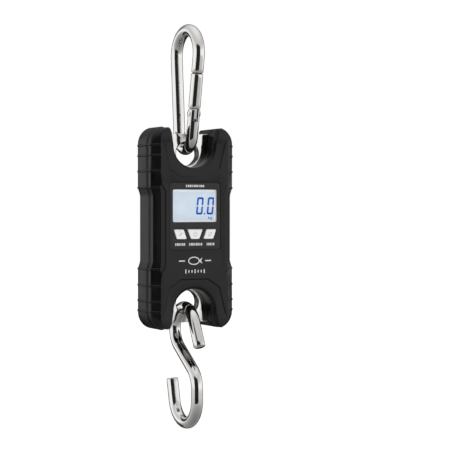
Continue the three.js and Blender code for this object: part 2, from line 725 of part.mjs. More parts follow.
// A bow, a straight run that crosses to a shoulder, a bowl, and splayed ends.
function sHook() {
  const top = new THREE.Vector2(...HOOK.top);
  const bowl = new THREE.Vector2(...HOOK.bowl);
  const shoulder = new THREE.Vector2(...HOOK.shoulder);
  const axis = shoulder.clone().sub(top);
  const lean = Math.acos((HOOK.topRadius + HOOK.shoulderRadius) / axis.length());
  const leaveAngle = axis.angle() + lean;
  const startAngle = HOOK_ENDS.topAngle * RAD;
  const endAngle = HOOK_ENDS.bowlAngle * RAD;
  const onCircle = (centre, radius, angle) => new THREE.Vector2(
    centre.x + radius * Math.cos(angle),
    centre.y + radius * Math.sin(angle),
  );
  const tipStart = onCircle(top, HOOK.topRadius, startAngle);
  const tip = tipStart.clone().add(new THREE.Vector2(
    -HOOK_ENDS.topRun * Math.sin(startAngle),
    HOOK_ENDS.topRun * Math.cos(startAngle),
  ));
  const bowlEnd = onCircle(bowl, HOOK.bowlRadius, endAngle);
  const point = bowlEnd.clone().add(new THREE.Vector2(
    -HOOK_ENDS.bowlRun * Math.sin(endAngle),
    HOOK_ENDS.bowlRun * Math.cos(endAngle),
  ));
  const path = new THREE.Path();
  path.moveTo(tip.x, tip.y);
  path.lineTo(tipStart.x, tipStart.y);
  path.absarc(top.x, top.y, HOOK.topRadius, startAngle, leaveAngle, true);
  path.absarc(shoulder.x, shoulder.y, HOOK.shoulderRadius, leaveAngle - Math.PI, -Math.PI, false);
  path.lineTo(bowl.x - HOOK.bowlRadius, bowl.y);
  path.absarc(bowl.x, bowl.y, HOOK.bowlRadius, -Math.PI, endAngle, false);
  path.lineTo(point.x, point.y);
  return tube(new WirePath(path), WIRE, 48, 12);
}

addNode('s_hook', sHook(), STAINLESS);

export default part;
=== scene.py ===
"""The looks of a hanging digital scale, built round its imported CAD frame.

Shapes are worked out in millimetres from the centre of the housing: X to the right of the
display, -Y out of the display, +Z up. at() turns them into the frame's metres.
"""
import json
import math

import bmesh
import bpy
from mathutils import Matrix, Vector
from mathutils.geometry import delaunay_2d_cdt


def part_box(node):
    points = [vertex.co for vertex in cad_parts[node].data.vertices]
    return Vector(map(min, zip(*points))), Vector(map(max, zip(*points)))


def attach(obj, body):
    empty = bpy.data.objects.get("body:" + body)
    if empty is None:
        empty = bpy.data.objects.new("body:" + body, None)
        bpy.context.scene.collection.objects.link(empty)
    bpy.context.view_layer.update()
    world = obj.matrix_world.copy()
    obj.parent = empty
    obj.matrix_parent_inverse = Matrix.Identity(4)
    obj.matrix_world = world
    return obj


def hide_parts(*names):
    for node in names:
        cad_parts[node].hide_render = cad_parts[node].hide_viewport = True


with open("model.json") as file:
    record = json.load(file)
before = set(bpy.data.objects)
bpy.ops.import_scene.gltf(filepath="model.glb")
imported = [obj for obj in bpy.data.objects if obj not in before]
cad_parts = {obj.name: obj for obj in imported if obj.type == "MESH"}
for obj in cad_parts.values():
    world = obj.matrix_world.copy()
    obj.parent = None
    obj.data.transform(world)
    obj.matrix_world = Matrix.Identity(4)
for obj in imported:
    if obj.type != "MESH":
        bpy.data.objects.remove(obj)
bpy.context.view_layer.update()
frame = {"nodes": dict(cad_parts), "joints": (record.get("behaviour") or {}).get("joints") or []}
NODES = frame["nodes"]
MM = 0.001

# ---------------- sizes from the frame

front_low, front_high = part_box("front_shell")
rear_low, rear_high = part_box("rear_shell")
plate_low, plate_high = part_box("load_plate")
CENTRE = Vector((0, (plate_low.y + plate_high.y) / 2, (front_low.z + front_high.z) / 2))

RIB_PROUD = 0.5
FRONT = (front_low.y - CENTRE.y) / MM
BACK = (rear_high.y - CENTRE.y) / MM
FRONT_SEAM = (front_high.y - CENTRE.y) / MM
REAR_SEAM = (rear_low.y - CENTRE.y) / MM
HALF_WIDTH = front_high.x / MM - RIB_PROUD
HALF_HEIGHT = (front_high.z - front_low.z) / 2 / MM
PLATE_HALF_WIDTH = plate_high.x / MM
PLATE_HALF_HEIGHT = (plate_high.z - plate_low.z) / 2 / MM
PLATE_FACE = (plate_high.y - CENTRE.y) / MM

CORNER = 12
CHAMFER_X = 5
RIB_HEIGHTS = (27, 38, 48.4, 55.2)
WAIST_STRAIGHT, WAIST_END = 21, 28
WAIST_SIDE, WAIST_FACE = 1.7, 0.2
NOTCH_Z, NOTCH_RADIUS, NOTCH_SLOPE = 55.25, 14.75, 0.157
COLLAR_X, COLLAR_Z, COLLAR_FILLET, COLLAR_DIP = 22.4, 67.0, 2.4, 0.35
# How the corner and the collar move down with the inset, and how notch-like the collar is.
CORNER_DROP, COLLAR_FALL, COLLAR_SHARE = 0.72, 0.15, 0.7
SLOT_TOP = PLATE_HALF_HEIGHT + 0.4
EYE_Z, EYE_RADIUS, EYE_FILLET, EYE_WALL_PROUD = 50, 8, 1.2, 0.02
SHELL_WALL = 1.2


def at(x, y, z):
    """A point of the housing, in millimetres, as a point of the frame."""
    return CENTRE + Vector((x, y, z)) * MM


def local(point):
    """A point of the frame in housing millimetres."""
    return (point - CENTRE) / MM


def lerp(a, b, t):
    """The value a share t of the way from a to b."""
    return a + (b - a) * t


def smooth(t):
    """An even rise from 0 to 1 that starts and ends level, held at both ends."""
    t = min(max(t, 0.0), 1.0)
    return t * t * (3 - 2 * t)


# ---------------- mesh helpers

def solid_mesh(name, corners, faces, merge=0.0):
    """A mesh from points of the frame, with its faces turned outwards."""
    mesh = bpy.data.meshes.new(name)
    mesh.from_pydata(corners, [], faces)
    builder = bmesh.new()
    builder.from_mesh(mesh)
    if merge:
        bmesh.ops.remove_doubles(builder, verts=builder.verts, dist=merge)
    bmesh.ops.recalc_face_normals(builder, faces=builder.faces)
    builder.to_mesh(mesh)
    builder.free()
    return mesh


def new_object(name, data):
    """An object in the scene, for a mesh or a camera."""
    made = bpy.data.objects.new(name, data)
    bpy.context.scene.collection.objects.link(made)
    return made


def make_piece(name, points, faces, body, slot, material, replaces=(), sharp=32):
    """A piece from points in housing millimetres, riding on a CAD body."""
    mesh = solid_mesh(name, [at(*point) for point in points], faces, 1e-6)
    return finish_piece(mesh, name, body, material, replaces, sharp)


def finish_piece(mesh, name, body, material, replaces=(), sharp=32):
    """Shades a mesh smooth up to a sharp angle in degrees, and gives it to its body."""
    mesh.polygons.foreach_set("use_smooth", [True] * len(mesh.polygons))
    mesh.set_sharp_from_angle(angle=math.radians(sharp))
    mesh.materials.append(material)
    piece = new_object(name, mesh)
    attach(piece, body)
    if replaces:
        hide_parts(*replaces)
    return piece


def flip_if_inside_out(mesh, outward):
    """Turns an open skin's faces over when its largest face looks away from outward."""
    largest = max(mesh.polygons, key=lambda polygon: polygon.area)
    if largest.normal.dot(Vector(outward)) < 0:
        mesh.flip_normals()


def offset_loop(points, distance):
    """A closed anticlockwise loop of (x, z) moved outwards by a distance, with mitred corners."""
    moved = []
    count = len(points)
    for i, here in enumerate(points):
        before = Vector(points[i - 1])
        after = Vector(points[(i + 1) % count])
        here = Vector(here)
        first = (here - before).normalized()
        second = (after - here).normalized()
        normal = Vector((first.y + second.y, -first.x - second.x)).normalized()
        stretch = max(normal.dot(Vector((first.y, -first.x))), 0.35)
        moved.append(tuple(here + normal * (distance / stretch)))
    return moved


def rounded_loop(corners, radius, steps=4):
    """A closed loop through corner points, each rounded by an arc-like curve of a radius."""
    points = []
    count = len(corners)
    for i, corner in enumerate(corners):
        corner = Vector(corner)
        start = corner + (Vector(corners[i - 1]) - corner).normalized() * radius
        end = corner + (Vector(corners[(i + 1) % count]) - corner).normalized() * radius
        for step in range(steps + 1):
            t = step / steps
            point = start * (1 - t) ** 2 + corner * 2 * t * (1 - t) + end * t * t
            points.append(tuple(point))
    return points


def mirrored(line):
    """A line of points turned over the middle line, and in reverse."""
    return [(-x, z) for x, z in reversed(line)]


def rectangle(half_width, low, high):
    """A rectangle about the middle line, anticlockwise."""
    return [(half_width, low), (half_width, high), (-half_width, high), (-half_width, low)]


def rectangle_at(x, z, half_x, half_z):
    return [(x + half_x, z - half_z), (x + half_x, z + half_z), (x - half_x, z + half_z),
            (x - half_x, z - half_z)]


def circle_loop(x, z, radius, steps=40):
    """A circle about a point, anticlockwise."""
    angles = [2 * math.pi * i / steps for i in range(steps)]
    return [(x + radius * math.cos(a), z + radius * math.sin(a)) for a in angles]


def inside(point, loop):
    """Whether a point lies inside a closed loop."""
    x, z = point
    odd = False
    for (x0, z0), (x1, z1) in zip(loop, loop[1:] + loop[:1]):
        if (z0 > z) != (z1 > z) and x < x0 + (x1 - x0) * (z - z0) / (z1 - z0):
            odd = not odd
    return odd


def upright_ring(loop, y):
    """A loop of (x, z) as a ring of points at one depth."""
    return [(x, y, z) for x, z in loop]


def seen_flat(points, ring):
    """A ring of mesh points seen from the front, as a loop of (x, z)."""
    return [(points[i][0], points[i][2]) for i in ring]


def cap(points, faces, outer, holes=(), lines=()):
    """Adds flat triangles inside one ring of mesh points and outside each hole's ring.

    Open lines of mesh points are kept as edges between the triangles.
    """
    indices, edges = [], []
    for ring in (outer, *holes):
        start = len(indices)
        indices += ring
        edges += [(start + i, start + (i + 1) % len(ring)) for i in range(len(ring))]
    for line in lines:
        start = len(indices)
        indices += line
        edges += [(start + i, start + i + 1) for i in range(len(line) - 1)]
    flat = [Vector(point) for point in seen_flat(points, indices)]
    vertices, _, triangles, sources = delaunay_2d_cdt(flat, edges, [], 0, 1e-7)[:4]
    rim, openings = seen_flat(points, outer), [seen_flat(points, hole) for hole in holes]
    for triangle in triangles:
        middle = tuple(sum((vertices[i] for i in triangle), Vector((0, 0))) / 3)
        if not inside(middle, rim) or any(inside(middle, hole) for hole in openings):
            continue
        if all(sources[i] for i in triangle):
            faces.append([indices[sources[i][0]] for i in triangle])


def loft(points, faces, rings):
    """Adds rings of equal length to a mesh and joins each to the next. Returns their indices."""
    indices = []
    for ring in rings:
        indices.append(list(range(len(points), len(points) + len(ring))))
        points.extend(ring)
    for lower, upper in zip(indices, indices[1:]):
        count = len(lower)
        for i in range(count):
            j = (i + 1) % count
            faces.append((lower[i], lower[j], upper[j], upper[i]))
    return indices


def closed_loft(points, faces, rings):
    """Adds a solid through rings of equal length to a mesh, with both its ends closed."""
    indices = loft(points, faces, rings)
    faces += [indices[0][::-1], indices[-1]]


def plate_piece(name, outer, holes, profile, body, slot, material, replaces=(),
                hole_profile=None):
    """A flat piece in X and Z: profile lists (inset, y) from its front face to its back.

    Its holes' edges follow the same profile, unless they have one of their own.
    """
    points, faces = [], []
    walls = []
    rims = [(outer, -1, profile)] + [(hole, 1, hole_profile or profile) for hole in holes]
    for loop, side, rim_profile in rims:
        walls.append(loft(points, faces, [upright_ring(offset_loop(loop, side * inset), y)
                                          for inset, y in rim_profile]))
    for end in (0, -1):
        cap(points, faces, walls[0][end], [rings[end] for rings in walls[1:]])
    return make_piece(name, points, faces, body, slot, material, replaces)


def rounded_profile(front, back, radius, steps=4):
    """(inset, y) pairs of a flat piece whose front and back edges have a radius."""
    angles = [math.pi / 2 * i / steps for i in range(steps + 1)]
    first = [(radius * (1 - math.sin(a)), front + radius * (1 - math.cos(a))) for a in angles]
    last = [(inset, front + back - y) for inset, y in reversed(first)]
    return first + last


def mesh_from(name, points, faces):
    """A mesh from points in housing millimetres, ready for booleans."""
    return solid_mesh(name, [at(*point) for point in points], faces)


def evaluated_mesh(piece):
    """A new mesh of a piece as its modifiers leave it."""
    bpy.context.view_layer.update()
    graph = bpy.context.evaluated_depsgraph_get()
    return bpy.data.meshes.new_from_object(piece.evaluated_get(graph))


def cut(mesh, cutters, operation="DIFFERENCE"):
    """The mesh after an exact boolean with each cutter mesh in turn."""
    piece = new_object("being_cut", mesh)
    tools = []
    for cutter in cutters:
        tools.append(new_object("cutter", cutter))
        modifier = piece.modifiers.new("cut", "BOOLEAN")
        modifier.solver = "EXACT"
        modifier.operation = operation
        modifier.object = tools[-1]
    result = evaluated_mesh(piece)
    for unwanted in [piece] + tools:
        bpy.data.objects.remove(unwanted)
    return result


# ---------------- materials

def new_material(name, color, roughness, metallic=0.0, **inputs):
    """A material whose shader inputs are the same all over; underscores stand for spaces."""
    material = bpy.data.materials.new(name)
    material.use_nodes = True
    set_inputs(shader_of(material), Base_Color=(*color, 1), Roughness=roughness,
               Metallic=metallic, **inputs)
    return material


def shader_of(material):
    return material.node_tree.nodes["Principled BSDF"]


def set_inputs(node, **values):
    for key, value in values.items():
        node.inputs[key.replace("_", " ")].default_value = value


def add_node(material, kind, **inputs):
    node = material.node_tree.nodes.new(kind)
    set_inputs(node, **inputs)
    return node


def link(material, source, target):
    material.node_tree.links.new(source, target)


def noise(material, scale, detail=3.0, stretch=(1, 1, 1)):
    """A noise texture over the object, in the frame's metres."""
    place = add_node(material, "ShaderNodeTexCoord")
    mapping = add_node(material, "ShaderNodeMapping", Scale=stretch)
    texture = add_node(material, "ShaderNodeTexNoise", Scale=scale, Detail=detail)
    link(material, place.outputs["Object"], mapping.inputs["Vector"])
    link(material, mapping.outputs["Vector"], texture.inputs["Vector"])
    return texture.outputs["Fac"]


# Noise is turned into colour and roughness between these two values of it.
NOISE_LOW, NOISE_HIGH = 0.3, 0.7


def vary_roughness(material, source, low, high):
    span = add_node(material, "ShaderNodeMapRange", From_Min=NOISE_LOW, From_Max=NOISE_HIGH,
                    To_Min=low, To_Max=high)
    link(material, source, span.inputs["Value"])
    link(material, span.outputs["Result"], shader_of(material).inputs["Roughness"])


def vary_color(material, source, first, second):
    """Colours a material between two colours, and returns the colour's output."""
    ramp = add_node(material, "ShaderNodeValToRGB")
    for element, place, color in zip(ramp.color_ramp.elements, (NOISE_LOW, NOISE_HIGH),
                                     (first, second)):
        element.position = place
        element.color = (*color, 1)
    link(material, source, ramp.inputs["Fac"])
    link(material, ramp.outputs["Color"], shader_of(material).inputs["Base Color"])
    return ramp.outputs["Color"]


def height_ramp(material, stops, lowest=0.0):
    """A colour ramp from (position, colour) stops, over the height between lowest and 1."""
    place = add_node(material, "ShaderNodeTexCoord")
    split = add_node(material, "ShaderNodeSeparateXYZ")
    span = add_node(material, "ShaderNodeMapRange", From_Min=lowest)
    ramp = add_node(material, "ShaderNodeValToRGB")
    elements = ramp.color_ramp.elements
    for element, (position, color) in zip(elements, stops):
        element.position = position
        element.color = (*color, 1)
    for position, color in stops[2:]:
        elements.new(position).color = (*color, 1)
    link(material, place.outputs["Generated"], split.inputs["Vector"])
    link(material, split.outputs["Z"], span.inputs["Value"])
    link(material, span.outputs["Result"], ramp.inputs["Fac"])
    return ramp


def greys(*stops):
    return [(position, (level, level, level)) for position, level in stops]


def surface(name, color, roughness, metallic=0.0, tint=None, haze=None, grain=None, **inputs):
    """A material that varies as a real surface does.

    tint is (noise, darker colour, lighter colour), haze is (noise, least, most roughness) and
    grain is (noise, depth in metres, strength), where a noise is noise()'s own arguments.
    """
    material = new_material(name, color, roughness, metallic, **inputs)
    if tint:
        vary_color(material, noise(material, *tint[0]), *tint[1:])
    if haze:
        vary_roughness(material, noise(material, *haze[0]), *haze[1:])
    if grain:
        bump = add_node(material, "ShaderNodeBump", Distance=grain[1], Strength=grain[2])
        link(material, noise(material, *grain[0]), bump.inputs["Height"])
        link(material, bump.outputs["Normal"], shader_of(material).inputs["Normal"])
    return material


def grained(name, color, roughness, scale=900, metallic=0.0):
    """A plain moulded or drawn material with its own grain."""
    shade = tuple(0.8 * channel for channel in color)
    return surface(name, color, roughness, metallic, ((scale / 4,), shade, color),
                   ((scale,), roughness - 0.06, roughness + 0.06),
                   ((scale * 2,), 0.00001, 0.4))


def ink(name, color):
    return surface(name, color, 0.5, tint=((1800, 2), tuple(0.86 * c for c in color), color))


def lit(name, color, strength, unevenness):
    """A lit layer of the display, with the faint unevenness of its light guide."""
    material = new_material(name, color, 0.35, Emission_Strength=strength)
    shade = tuple(channel * (1 - unevenness) for channel in color)
    glow = vary_color(material, noise(material, 160, 2), shade, color)
    link(material, glow, shader_of(material).inputs["Emission Color"])
    return material


def clear_window():
    return new_material("clear_window", (1, 1, 1), 0.03, IOR=1.47, Transmission_Weight=1.0,
                        Specular_IOR_Level=0.25, Alpha=0.1)


def segment_ink():
    return surface("segment_ink", (0.003, 0.06, 0.34), 0.4, Emission_Strength=0.35,
                   tint=((900,), (0.002, 0.045, 0.28), (0.004, 0.06, 0.33)),
                   Specular_IOR_Level=0.0, Emission_Color=(0.0, 0.12, 0.62, 1))


def solder_mask():
    """Green board with darker traces."""
    material = surface("board", (0.02, 0.12, 0.05), 0.4, haze=((700,), 0.3, 0.45))
    place = add_node(material, "ShaderNodeTexCoord")
    traces = add_node(material, "ShaderNodeTexBrick", Scale=260, Mortar_Size=0.03,
                      Color1=(0.014, 0.09, 0.035, 1), Color2=(0.02, 0.12, 0.05, 1),
                      Mortar=(0.05, 0.20, 0.09, 1))
    link(material, place.outputs["Object"], traces.inputs["Vector"])
    link(material, traces.outputs["Color"], shader_of(material).inputs["Base Color"])
    return material


# Black ABS from a finely spark-eroded mould, a little polished by handling.
PLASTIC = surface(
    "shell_plastic", (0.003, 0.003, 0.0032), 0.34, Specular_IOR_Level=0.41,
    tint=((120,), (0.002, 0.002, 0.0022), (0.004, 0.004, 0.0042)),
    haze=((60, 4), 0.3, 0.38), grain=((2600, 2), 0.00003, 0.5))
# Matte printed film with a fine grain.
FILM = surface(
    "fascia_film", (0.02, 0.02, 0.018), 0.6,
    tint=((1500, 2), (0.014, 0.014, 0.012), (0.030, 0.030, 0.027)),
    haze=((90,), 0.5, 0.64), grain=((3200, 2), 0.00002, 0.4))
# Polished stainless: bright, with faint buffing marks and handling haze.
STEEL = surface(
    "polished_steel", (0.85, 0.84, 0.82), 0.08, 1.0,
    tint=((70, 3), (0.81, 0.80, 0.78), (0.89, 0.88, 0.86)),
    haze=((900, 5, (1, 1, 0.08)), 0.05, 0.12), grain=((700, 3), 0.000002, 0.25))
PLATED = surface(
    "plated_steel", (0.55, 0.56, 0.58), 0.3, 1.0,
    haze=((800, 4), 0.22, 0.36), grain=((1500, 3), 0.00001, 0.3))
SPRING = surface("spring_steel", (0.45, 0.46, 0.48), 0.28, 1.0, haze=((1200, 3), 0.2, 0.36))
# Pale silver moulded key with a soft sheen and slight grain.
KEY = surface(
    "silver_key", (0.9, 0.9, 0.91), 0.36,
    tint=((250,), (0.86, 0.86, 0.87), (0.93, 0.93, 0.94)),
    haze=((500,), 0.3, 0.42), grain=((3000, 2), 0.00001, 0.3))

# ---------------- the housing's outline

def rib_height(z):
    """How far the grip ribs stand out of the housing's side at a height."""
    nearest = min(abs(abs(z) - centre) for centre in RIB_HEIGHTS)
    return RIB_PROUD * smooth(1 - (nearest - 0.3) / 0.5)


def side_heights():
    plain = [0, 6, 12, 17, 20, 21, 22, 23, 24, 25, 26, 30, 33, 36, 40, 43, 46, 51, 53]
    close = [centre + step for centre in RIB_HEIGHTS
             for step in (-0.85, -0.8, -0.62, -0.48, -0.3, 0, 0.3, 0.48, 0.62, 0.8, 0.85)]
    return sorted(plain + close)


SIDE = side_heights()


def notch_wall(z, flare):
    """How far the notch's wall stands from the middle line at a height."""
    return NOTCH_RADIUS + flare + NOTCH_SLOPE * (z - NOTCH_Z)


def side_run(inset, rib):
    """Up the housing's side, in at its waist and out over the grip ribs."""
    waist_depth = lerp(WAIST_SIDE, WAIST_FACE, inset / (CHAMFER_X + 1))
    points = []
    for z in SIDE:
        waist = waist_depth * smooth((WAIST_END - z) / (WAIST_END - WAIST_STRAIGHT))
        points.append((HALF_WIDTH - inset - waist + rib * rib_height(z), z, 0))
    return points


def corner_run(inset):
    """Over the housing's corner, as far as the collar round the notch."""
    radius = CORNER - inset
    middle_x = HALF_WIDTH - CORNER
    middle_z = HALF_HEIGHT - CORNER + CORNER_DROP * inset
    end = math.acos((COLLAR_X - middle_x) / radius)
    angles = [end * i / 14 for i in range(15)]
    return [(middle_x + radius * math.cos(a), middle_z + radius * math.sin(a), 0)
            for a in angles]


def collar_run(outer_z, collar_z, flare):
    """Over the collar's top, and round its fillet into the notch."""
    wall_x = notch_wall(collar_z, flare)
    points = []
    for i in range(1, 6):
        t = i / 6
        z = lerp(outer_z, collar_z, smooth(t)) - COLLAR_DIP * math.sin(math.pi * t)
        points.append((lerp(COLLAR_X, wall_x + COLLAR_FILLET, t), z, COLLAR_SHARE * smooth(t)))
    for i in range(6):
        t = i / 5
        points.append((wall_x + COLLAR_FILLET * (1 - t) ** 2, collar_z - COLLAR_FILLET * t * t,
                       lerp(COLLAR_SHARE, 1, t)))
    return points


def notch_run(flare):
    """Down the notch's wall and round half of its bottom."""
    heights = (SLOT_TOP + 0.03, SLOT_TOP - 0.03, 62, 60, 58, 56.5)
    radius = NOTCH_RADIUS + flare
    angles = [-math.pi / 2 * i / 18 for i in range(19)]
    return [(notch_wall(z, flare), z, 1) for z in heights] + [
        (radius * math.cos(a), NOTCH_Z + radius * math.sin(a), 1) for a in angles]


def quarter_outline(inset, flare, rib):
    """A quarter of the front view: up the right side, over the corner, down into the notch.

    inset moves the outer edge in, flare widens the notch, and rib scales the grip ribs.
    Each point is (x, z, n), where n is 0 on the outer edge and 1 in the notch.
    """
    corner = corner_run(inset)
    collar = collar_run(corner[-1][1], COLLAR_Z - COLLAR_FALL * inset, flare)
    return side_run(inset, rib) + corner + collar + notch_run(flare)


def whole_outline(inset, flare, rib):
    """The closed front-view outline, anticlockwise: both notches are bays in it."""
    quarter = quarter_outline(inset, flare, rib)
    left = [(-x, z, n) for x, z, n in reversed(quarter)]
    upper = quarter + left[1:]
    lower = [(-x, -z, n) for x, z, n in upper]
    return upper[:-1] + lower[:-1]


# Each row is the outer edge's (inset, depth from the face) and the notch's, seam to face.
OUTER_RULE = [(0.0, 5.2), (0.03, 4.75), (0.16, 4.4), (0.42, 4.1), (0.8, 3.76), (3.0, 1.93),
              (4.9, 0.36), (5.15, 0.16), (5.45, 0.04), (5.9, 0.0)]
NOTCH_RULE = [(0.0, 3.2), (0.03, 2.65), (0.12, 2.3), (0.32, 1.95), (0.7, 1.4), (1.1, 0.8),
              (1.4, 0.36), (1.55, 0.16), (1.72, 0.04), (1.95, 0.0)]
RIB_RULE = [1, 1, 1, 1, 1, 1, 1, 0.8, 0.4, 0]
RECESS_RULE = [0, 0, 0.1, 0.25, 0.45, 0.8, 1, 1, 1, 1]
SEAM_RULE = [(0.32, 0.0), (0.12, 0.1), (0.0, 0.4)]

RECESS_DEPTH = 0.85
RECESS_EDGE = 0.38
RECESS_CORNERS = [(10, 34), (18.7, 39.7), (24, 60), (25.6, 72)]
RECESS_END, RECESS_FADE = 60.5, 4
STRIP_CORNERS = [(21.7, 24.4), (24.4, 29.2)]


def strip_distance(x, z):
    """How far a point of the face lies inside the sunken strip along its waist."""
    (x0, z0), (x1, z1) = STRIP_CORNERS
    across = Vector((z1 - z0, x0 - x1)).normalized()
    return min(abs(x) - x0, (abs(x) - x0) * across.x + (abs(z) - z0) * across.y)


def recess_distance(x, z):
    """How far a point of the face lies inside the sunken collar round a notch."""
    x, z = abs(x), abs(z)
    distance = z - RECESS_CORNERS[0][1]
    for (x0, z0), (x1, z1) in zip(RECESS_CORNERS, RECESS_CORNERS[1:]):
        across = Vector((z0 - z1, x1 - x0)).normalized()
        distance = min(distance, (x - x0) * across.x + (z - z0) * across.y)
    return distance


def recess(x, z):
    """How deep the face is sunk at a point: the collars' steps run out towards their ends."""
    distance = max(recess_distance(x, z), strip_distance(x, z))
    fade = smooth((RECESS_END - abs(z)) / RECESS_FADE)
    return RECESS_DEPTH * fade * smooth(0.5 + distance / (2 * RECESS_EDGE))


def shell_rings(face, seam, notch_seam, sunken):
    """The rings of a shell's outer skin, from its seam to its face."""
    out = 1 if face > seam else -1
    rings = []
    for inset, rise in SEAM_RULE:
        ring = []
        for x, z, n in whole_outline(inset, inset * 0.6, 1):
            in_slot = n == 1 and abs(z) < SLOT_TOP
            ring.append((x, (notch_seam if in_slot else seam) + out * rise, z))
        rings.append(ring)
    rows = zip(OUTER_RULE, NOTCH_RULE, RIB_RULE, RECESS_RULE)
    for (inset, depth), (flare, notch_depth), rib, sink in rows:
        ring = []
        for x, z, n in whole_outline(inset, flare, rib):
            sunk = recess(x, z) * sink if sunken else 0
            ring.append((x, face - out * (lerp(depth, notch_depth, n) + sunk), z))
        rings.append(ring)
    return rings


def crease_lines():
    """Lines along both edges of the sunken collars' step, which keep the face's fill crisp."""
    lines = []
    (x0, z0), (x1, z1), (x2, z2) = RECESS_CORNERS[:3]
    for shift in (-RECESS_EDGE, 0, RECESS_EDGE):
        right = [(x0 - 0.3 * shift, z0 + shift), (x1 - 0.65 * shift, z1 + 0.65 * shift),
                 (lerp(x1, x2, 0.85) - shift, lerp(z1, z2, 0.85))]
        line = mirrored(right) + right
        lines.append(line)
        lines.append([(x, -z) for x, z in line])
        (x3, z3), (x4, z4) = STRIP_CORNERS
        ends = [(x4 + shift * 0.9, z4 - shift * 0.5), (x3 + shift, z3)]
        strip = ends + [(x, -z) for x, z in reversed(ends)]
        lines.append(strip)
        lines.append([(-x, z) for x, z in strip])
    return lines


def shell_piece(name, face, seam, notch_seam, sunken, wells, replaces):
    """A shell: its lofted skin, its face with each well cut in, and a wall thickness.

    A well is a list of (loop, depth below the face), and its last loop is left open or is
    closed by a floor when the list ends with None.
    """
    out = 1 if face > seam else -1
    points, faces = [], []
    rings = loft(points, faces, shell_rings(face, seam, notch_seam, sunken))
    mouths = []
    for well in wells:
        levels = [level for level in well if level is not None]
        well_rings = loft(points, faces, [upright_ring(loop, face - out * depth)
                                          for loop, depth in levels])
        mouths.append(well_rings[0])
        if well[-1] is None:
            cap(points, faces, well_rings[-1])
    lines = []
    for line in crease_lines() if sunken else ():
        lines.append(list(range(len(points), len(points) + len(line))))
        points += [(x, face - out * recess(x, z), z) for x, z in line]
    cap(points, faces, rings[-1], mouths, lines)
    piece = make_piece(name, points, faces, "housing", "shell_plastic", PLASTIC, replaces)
    flip_if_inside_out(piece.data, (0, out, 0))
    wall = piece.modifiers.new("wall", "SOLIDIFY")
    wall.thickness = SHELL_WALL * MM
    wall.offset = -1
    wall.thickness_clamp = 1.0
    return piece


# ---------------- fascia and its openings

FASCIA_HALF, FASCIA_LOW, FASCIA_HIGH = 19, -14.2, 30.4
FASCIA_FACE = FRONT + 0.12
WINDOW_HALF, WINDOW_LOW, WINDOW_HIGH = 16.2, 4.4, 25.6
BORDER, BORDER_SIDE = 0.9, 0.8
GLASS_HALF, GLASS_LOW, GLASS_HIGH = 18.5, 2, 30.8
KEY_TOP, KEY_BOTTOM = -0.7, -7.0
SIDE_KEY = [(8.6, KEY_TOP), (6.4, KEY_BOTTOM), (13.5, KEY_BOTTOM), (15.7, KEY_TOP)]
KEYS = {
    "button_left": mirrored(SIDE_KEY),
    "button_centre": [(-5.6, KEY_TOP), (-3, KEY_BOTTOM), (3, KEY_BOTTOM), (5.6, KEY_TOP)],
    "button_right": SIDE_KEY,
}


def fascia_loop(gap=0.0):
    return rounded_loop(
        rectangle(FASCIA_HALF + gap, FASCIA_LOW - gap, FASCIA_HIGH + gap), 2.4, 8)


def window_loop(gap=0.0):
    return rounded_loop(
        rectangle(WINDOW_HALF + gap, WINDOW_LOW - gap, WINDOW_HIGH + gap), 1.0, 6)


def key_loop(name, gap=0.0):
    return rounded_loop(offset_loop(KEYS[name], gap), 0.7, 4)


def front_shell():
    """The front shell: a recess for the fascia, whose floor is open behind display and keys."""
    seat = [
        (fascia_loop(0.35), 0.0), (fascia_loop(0.18), 0.06), (fascia_loop(0.1), 0.22),
        (fascia_loop(0.08), 0.62), (fascia_loop(-2.0), 0.64), (fascia_loop(-2.1), 1.6),
    ]
    return shell_piece("shell_front", FRONT, FRONT_SEAM, -PLATE_FACE - 0.25, True, [seat],
                       ["front_shell"])


def fascia():
    """The printed film, with openings for the window and the keys."""
    holes = [window_loop(0.2)] + [key_loop(name, 0.25) for name in KEYS]
    profile = rounded_profile(FASCIA_FACE, FRONT + 0.5, 0.08, 2)
    return plate_piece("fascia_panel", fascia_loop(-0.08), holes, profile, "housing",
                       "fascia_film", FILM, ["fascia"])


def display():
    """Window, lit field with its white border, and the segments."""
    front, glass_face = FRONT + 0.16, FRONT + 2.2
    plate_piece("window", window_loop(), [], rounded_profile(front, front + 1.2, 0.15, 2),
                "housing", "clear_window", clear_window(), ["display_window"])
    glass = rectangle(GLASS_HALF, GLASS_LOW, GLASS_HIGH)
    white = lit("display_border", (0.64, 0.68, 0.72), 0.45, 0.04)
    plate_piece("display_frame", rounded_loop(glass, 0.6, 3),
                [rounded_loop(rectangle(WINDOW_HALF - BORDER_SIDE,
                                        WINDOW_LOW + BORDER, WINDOW_HIGH - BORDER), 0.5, 3)],
                rounded_profile(glass_face - 0.35, glass_face - 0.05, 0.05, 2),
                "housing", "display_glass", white)
    blue = lit("display_field", (0.505, 0.585, 0.66), 0.45, 0.06)
    plate_piece("display_field", rounded_loop(glass, 0.4, 3), [],
                rounded_profile(glass_face, glass_face + 2, 0.1, 2),
                "housing", "display_glass", blue, ["lcd_glass"])
    segments(glass_face - 0.03)


SEGMENT_SLANT = 0.1
DIGIT = {"width": 3.65, "height": 10.3, "stroke": 1.25, "gap": 0.55}
DIGIT_LOW, DIGIT_PLACES, POINT_PLACE, UNIT_PLACE = 9.8, (4.2, 12.25), 8.25, (11.2, 6.0)


def bar(start, end, stroke):
    """A pointed bar from start to end, as a loop."""
    start, end = Vector(start), Vector(end)
    along = (end - start).normalized()
    side = Vector((along.y, -along.x)) * (stroke / 2)
    tip = along * (stroke * 0.42)
    return [tuple(start), tuple(start + tip + side), tuple(end - tip + side), tuple(end),
            tuple(end - tip - side), tuple(start + tip - side)]


